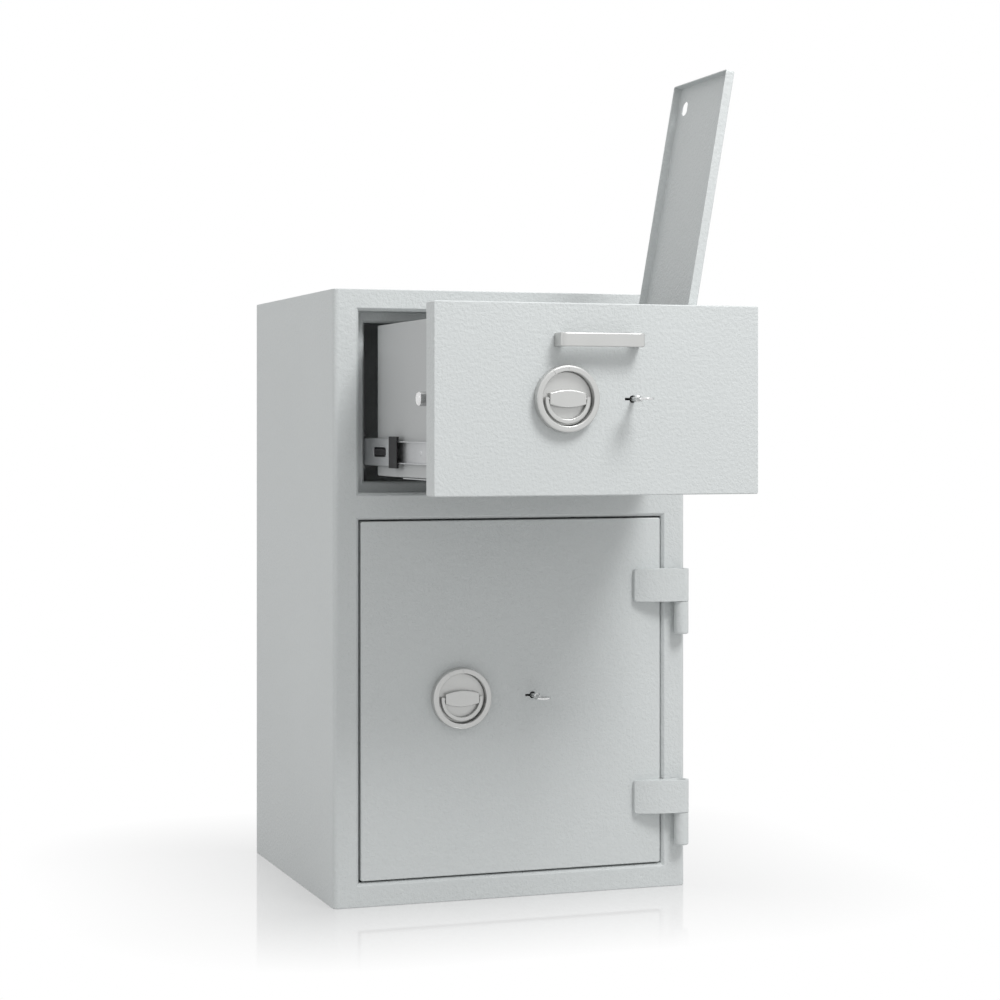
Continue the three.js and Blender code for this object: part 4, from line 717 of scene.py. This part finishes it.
def lock_key(node):
    low, high = box_of(node)
    centre, neck, end = centre_of(node), low.y + bow_length, high.y
    x, z, half, stem_radius = centre.x, centre.z, (high.x - low.x) / 2, (high.z - low.z) / 2
    middle = low.y + bow_length / 2
    turns = [2 * math.pi * step / 40 for step in range(40)]
    oval = [(x + half * math.cos(turn), middle + bow_length / 2 * math.sin(turn)) for turn in turns]
    bow = rimmed_plate("z", oval, z - bow_half, z + bow_half, bow_edge)
    bow = carved(bow, rod("z", (x, middle - bow_length / 8), z - stem_radius, z + stem_radius, bow_hole))
    profile = [(reach, neck + place) for reach, place in stem_start]
    profile += [(stem_radius, end - tip_chamfer), (tip_radius, end), (0, end)]
    stem = turned("y", (x, z), profile, 32)
    bit_start = end - tip_chamfer - bit_length
    bits = slab((x - bit_reach, bit_start, z - bit_half),
                (x + bit_reach, bit_start + bit_length, z + bit_half))
    wards = []
    for side in (-1, 1):
        for share in ward_shares:
            ward_x, ward_y = x + side * bit_reach, bit_start + share * bit_length
            wards.append(slab((ward_x - ward_reach, ward_y - ward_half, z - stem_radius),
                              (ward_x + ward_reach, ward_y + ward_half, z + stem_radius)))
    return welded(bow, stem, carved(bits, *wards))


finish_piece("drawer_safe_key", lock_key("drawer_key"), bolt_steel, "drawer_key", edge=0, crease=40)


# Lid over the tray: a shallow pressed pan with turned-down lips and a finger hole, on three knuckles.
# It stands open, leaned a little past upright.
lid_joint = next(joint for joint in frame["joints"] if joint["name"] == "lid_hinge")
lid_hinge_x, _, lid_hinge_z = lid_joint["pos_m"]
lid_turn = math.radians(lid_joint["range_deg"][1])
lid_front, lid_rear = (corner.y for corner in box_of("drawer_lid"))
lid_edge, lid_top, lid_sheet, lid_lip = -0.1850, 0.77305, 0.0012, 0.011
outer_bend, inner_bend, knuckle_room, hinge_cut = 0.0022, 0.0010, 0.0056, 0.0112
lid_knuckle, lid_bore, knuckle_gap = 0.0028, 0.0019, 0.0006
finger_radius, finger_flat, finger_inset_x, finger_inset_y = 0.0095, 0.008, 0.030, 0.0215
lid_room_depth, lid_overrun = 0.020, 0.002
lid_under = lid_top - lid_sheet


def pressed_box(inset, floor, radius):
    """The outer or inner shape of the lid's pan, its bends rounded."""
    low = (lid_edge + inset, lid_front + inset, floor)
    high = (lid_hinge_x + inset, lid_rear - inset, lid_top - inset)
    box = slab(low, high)
    bends = []
    for rim in box.edges:
        one, two = (corner.co for corner in rim.verts)
        at_edge = max(one.x, two.x) < low[0] + 1e-6
        on_top = min(one.z, two.z) > high[2] - 1e-6
        along_x = abs(one.x - two.x) > 1e-6
        if (at_edge and (on_top or abs(one.z - two.z) > 1e-6)) or (on_top and along_x):
            bends.append(rim)
    bmesh.ops.bevel(box, geom=bends, offset=radius, offset_type="OFFSET", segments=4, profile=0.5,
                    affect="EDGES", material=-1, clamp_overlap=True)
    return box


knuckle_pitch = (lid_rear - lid_front) / 5
lid_room = lid_under - lid_room_depth
finger_x, finger_y = lid_edge + finger_inset_x, lid_rear - finger_inset_y
finger_hole = []
for step in range(40):
    turn = 2 * math.pi * step / 40
    drop = max(-finger_flat, min(finger_flat, finger_radius * math.sin(turn)))
    finger_hole.append((finger_x + finger_radius * math.cos(turn), finger_y + drop))
reliefs = [slab((lid_hinge_x - knuckle_room, lid_front + count * knuckle_pitch - knuckle_gap,
                 lid_under - lid_overrun),
                (lid_hinge_x + lid_overrun, lid_front + (count + 1) * knuckle_pitch + knuckle_gap,
                 lid_top + lid_overrun))
           for count in (1, 3)]
knuckles = [rod("y", (lid_hinge_x, lid_hinge_z), lid_front + count * knuckle_pitch + knuckle_gap,
                lid_front + (count + 1) * knuckle_pitch - knuckle_gap, lid_knuckle, 24)
            for count in (0, 2, 4)]
lid = carved(pressed_box(0, lid_under - lid_lip, outer_bend),
             pressed_box(lid_sheet, lid_room, inner_bend),
             slab((lid_hinge_x - hinge_cut, lid_front - overrun, lid_room),
                  (lid_hinge_x + overrun, lid_rear + overrun, lid_under)),
             loft("z", [(lid_under - lid_overrun, finger_hole), (lid_top + lid_overrun, finger_hole)]),
             *reliefs)
lid = carved(welded(lid, *knuckles),
             rod("y", (lid_hinge_x, lid_hinge_z), lid_front - overrun, lid_rear + overrun, lid_bore, 16))
hinge_line = Vector((lid_hinge_x, 0, lid_hinge_z))
bmesh.ops.transform(lid, verts=lid.verts, matrix=Matrix.Translation(hinge_line)
                    @ Matrix.Rotation(lid_turn, 4, "Y") @ Matrix.Translation(-hinge_line))
finish_piece("tray_lid", lid, textured_grey, "drawer_lid", edge=0.00025)


# Door: a boxed leaf like the drawer's front, an inner plate with the boltwork, and a pressed cover.
# Both bolts sit on one upright bar whose arm reaches over the lock.
door_knob, door_keyhole = centre_of("door_handle_ring"), centre_of("door_key")
finish_piece("door_front", boxed_front("door_leaf", door_knob, door_keyhole), textured_grey,
             "door_leaf", edge=0.00025)
refined("door_boltwork_plate", "door_inner_plate", inner_grey, 0.0003)
refined("door_back_cover", "door_inner_cover", inner_grey, 0.0004)
refined("door_lever", "door_spindle", bolt_steel, 0.0004)
refined("door_bolt_work", "door_bolt_bar", bolt_steel, 0.0003)
refined("door_lock_body", "door_lock_case", zinc_steel, 0.0006)
refined("door_lock_tongue", "door_lock_bolt", bolt_steel, 0.0004)
refined("door_keyway", "door_lock_curtain", bolt_steel, 0.0003)
ring_handle("door")
finish_piece("door_safe_key", lock_key("door_key"), bolt_steel, "door_key", edge=0, crease=40)


# Lift-off hinges: a crowned strap with its bored knuckle, welded to the door, over a barrel with a
# fixed pin on the frame. Coated with the cabinet.
hinge_height, strap_bore, strap_rise, crown_share = 0.045, 0.0064, 0.006, 0.45
strap_corner, sharp_corner = 0.0035, 0.0001
barrel_edge, barrel_top_edge, pad_half = 0.0025, 0.0005, 0.005
pin_radius, pin_chamfer, pin_reach = 0.006, 0.001, 0.037
barrel_low, barrel_high = box_of("hinge_barrel_upper")
barrel_radius = (barrel_high.x - barrel_low.x) / 2
hinge_x, hinge_y = barrel_low.x + barrel_radius, barrel_low.y + barrel_radius
door_right = box_of("door_leaf")[1].x


def underside(node):
    """The height of a node's underside, to a tenth of a millimetre."""
    return round(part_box(node)[0].z, 4)


def hinge_strap(node):
    (left, crown, _), (_, seat, _) = box_of(node)
    low, knuckle = underside(node), hinge_y - crown
    high = low + hinge_height
    outline = [(left, seat), (left, seat - strap_rise)]
    outline += bend(outline[-1], (left + (hinge_x - left) * crown_share, crown), (hinge_x, crown), 20)
    turns = [math.radians(-90 + 180 * step / 24) for step in range(1, 25)]
    outline += [(hinge_x + knuckle * math.cos(turn), hinge_y + knuckle * math.sin(turn)) for turn in turns]
    outline.append((door_right, seat))
    ends = rounded(left, hinge_x + 2 * barrel_radius, low, high,
                   (strap_corner, sharp_corner, sharp_corner, strap_corner), 6)
    strap = worked(loft("z", [(low, outline), (high, outline)]),
                   [loft("y", [(crown - overrun, ends), (seat + overrun, ends)])], "INTERSECT")
    return carved(strap, rod("z", (hinge_x, hinge_y), low - overrun, high + overrun, strap_bore, 40))


def hinge_barrel(node, pin_top):
    low, seat = underside(node), box_of(node)[1].y
    high = low + hinge_height
    profile = [(0, low)]
    profile += [(barrel_radius - inset, low + depth) for inset, depth in quarter(barrel_edge, 5)]
    profile += [(barrel_radius - inset, high - depth)
                for inset, depth in reversed(quarter(barrel_top_edge, 2))]
    profile.append((0, high))
    barrel = turned("z", (hinge_x, hinge_y), profile, 48)
    pad = slab((hinge_x - pad_half, hinge_y, low + barrel_edge),
               (hinge_x + pad_half, seat, high - barrel_edge))
    pin = turned("z", (hinge_x, hinge_y), [
        (0, low + barrel_edge), (pin_radius, low + barrel_edge), (pin_radius, pin_top - pin_chamfer),
        (pin_radius - pin_chamfer, pin_top), (0, pin_top)], 32)
    return welded(barrel, pad, pin)


for place in ("upper", "lower"):
    strap_node, barrel_node = f"door_hinge_strap_{place}", f"hinge_barrel_{place}"
    finish_piece(f"strap_{place}", hinge_strap(strap_node), textured_grey, strap_node,
                 edge=0.0009, crease=50, rounds=3)
    finish_piece(f"barrel_{place}", hinge_barrel(barrel_node, underside(strap_node) + pin_reach),
                 textured_grey, barrel_node, edge=0, crease=40)


# Studio: a pale glossy floor that fades into a white backdrop, broad lamps in front, above and beside,
# and soft light all round.
def in_view(bench, low, high):
    """High where the camera looks, straight or in a mirror, and low for the light on the object."""
    seen, mirrored, through, scattered = [
        bench.node("ShaderNodeLightPath", output=ray)
        for ray in ("Is Camera Ray", "Is Glossy Ray", "Is Transmission Ray", "Diffuse Depth")]
    return bench.node("ShaderNodeMapRange", None, {
        "Value": seen + mirrored + through - scattered, "To Min": low, "To Max": high})


floor_reach, fade_reach, near_white, soft_light, white = 12.0, 0.36, 0.38, 0.62, (1, 1, 1, 1)
floor_coat = Coat("studio_floor")
floor_coat.shade(Base_Color=(0.72, 0.72, 0.72, 1), Roughness=0.06, Metallic=0.5)
white_light = floor_coat.node("ShaderNodeEmission", None, {"Color": white, "Strength": 1.0})
beyond = floor_coat.place
for operation, operand in (("ABSOLUTE", (0, 0, 0)), ("SUBTRACT", (cabinet_half, cabinet_rear, 0)),
                           ("MAXIMUM", (0, 0, 0))):
    beyond = floor_coat.node("ShaderNodeVectorMath", {"operation": operation}, {0: beyond, 1: operand})
away = floor_coat.node("ShaderNodeVectorMath", {"operation": "LENGTH"}, {0: beyond}, output="Value")
fade = floor_coat.node("ShaderNodeMapRange", None, {
    "Value": away, "From Max": fade_reach, "To Min": near_white, "To Max": 1.0})
floor_mix = floor_coat.node("ShaderNodeMixShader", None, {
    0: in_view(floor_coat, 0.0, 1.0) * fade,
    1: Wire(floor_coat, floor_coat.shader.outputs[0]),
    2: white_light})
floor_coat.feed(floor_coat.tree.nodes["Material Output"].inputs["Surface"], floor_mix)
floor_mesh = bmesh.new()
bmesh.ops.create_grid(floor_mesh, x_segments=1, y_segments=1, size=floor_reach)
floor_data = bpy.data.meshes.new("floor")
floor_mesh.to_mesh(floor_data)
floor_mesh.free()
floor_data.materials.append(floor_coat.material)
floor = bpy.data.objects.new("floor", floor_data)
bpy.context.scene.collection.objects.link(floor)

world = bpy.data.worlds.new("studio")
bpy.context.scene.world = world
sky = Bench(world)
backdrop = sky.tree.nodes["Background"]
sky.feed(backdrop.inputs["Color"], white)
sky.feed(backdrop.inputs["Strength"], in_view(sky, soft_light, 1.0))


def lamp(name, place, target, size, power):
    data = bpy.data.lights.new(name, "AREA")
    data.size = size
    data.energy = power
    made = bpy.data.objects.new(name, data)
    made.location = place
    made.rotation_euler = (Vector(target) - Vector(place)).to_track_quat("-Z", "Y").to_euler()
    bpy.context.scene.collection.objects.link(made)


lamp("front_lamp", (0.8, -2.2, 2.9), (0, -0.3, 0.5), 1.0, 56)
lamp("high_lamp", (0.3, -1.1, 3.3), (0, -0.3, 0.5), 1.4, 10)
lamp("side_lamp", (-3.2, -0.2, 1.4), (0, 0, 0.5), 1.6, 9)


# Camera: level, a little left of the front, at the height of the drawer's lower half, with a long
# lens that is shifted down rather than tilted.
camera_data = bpy.data.cameras.new("camera")
camera_data.sensor_width = 36
camera_data.lens = 83.98
camera_data.shift_y = -0.0723
camera = bpy.data.objects.new("camera", camera_data)
camera.location = (-1.0635, -3.198, 0.636)
camera.rotation_euler = (math.radians(90), 0, math.radians(-19.311))
bpy.context.scene.collection.objects.link(camera)
bpy.context.scene.camera = camera
bpy.context.scene.view_settings.view_transform = "Standard"
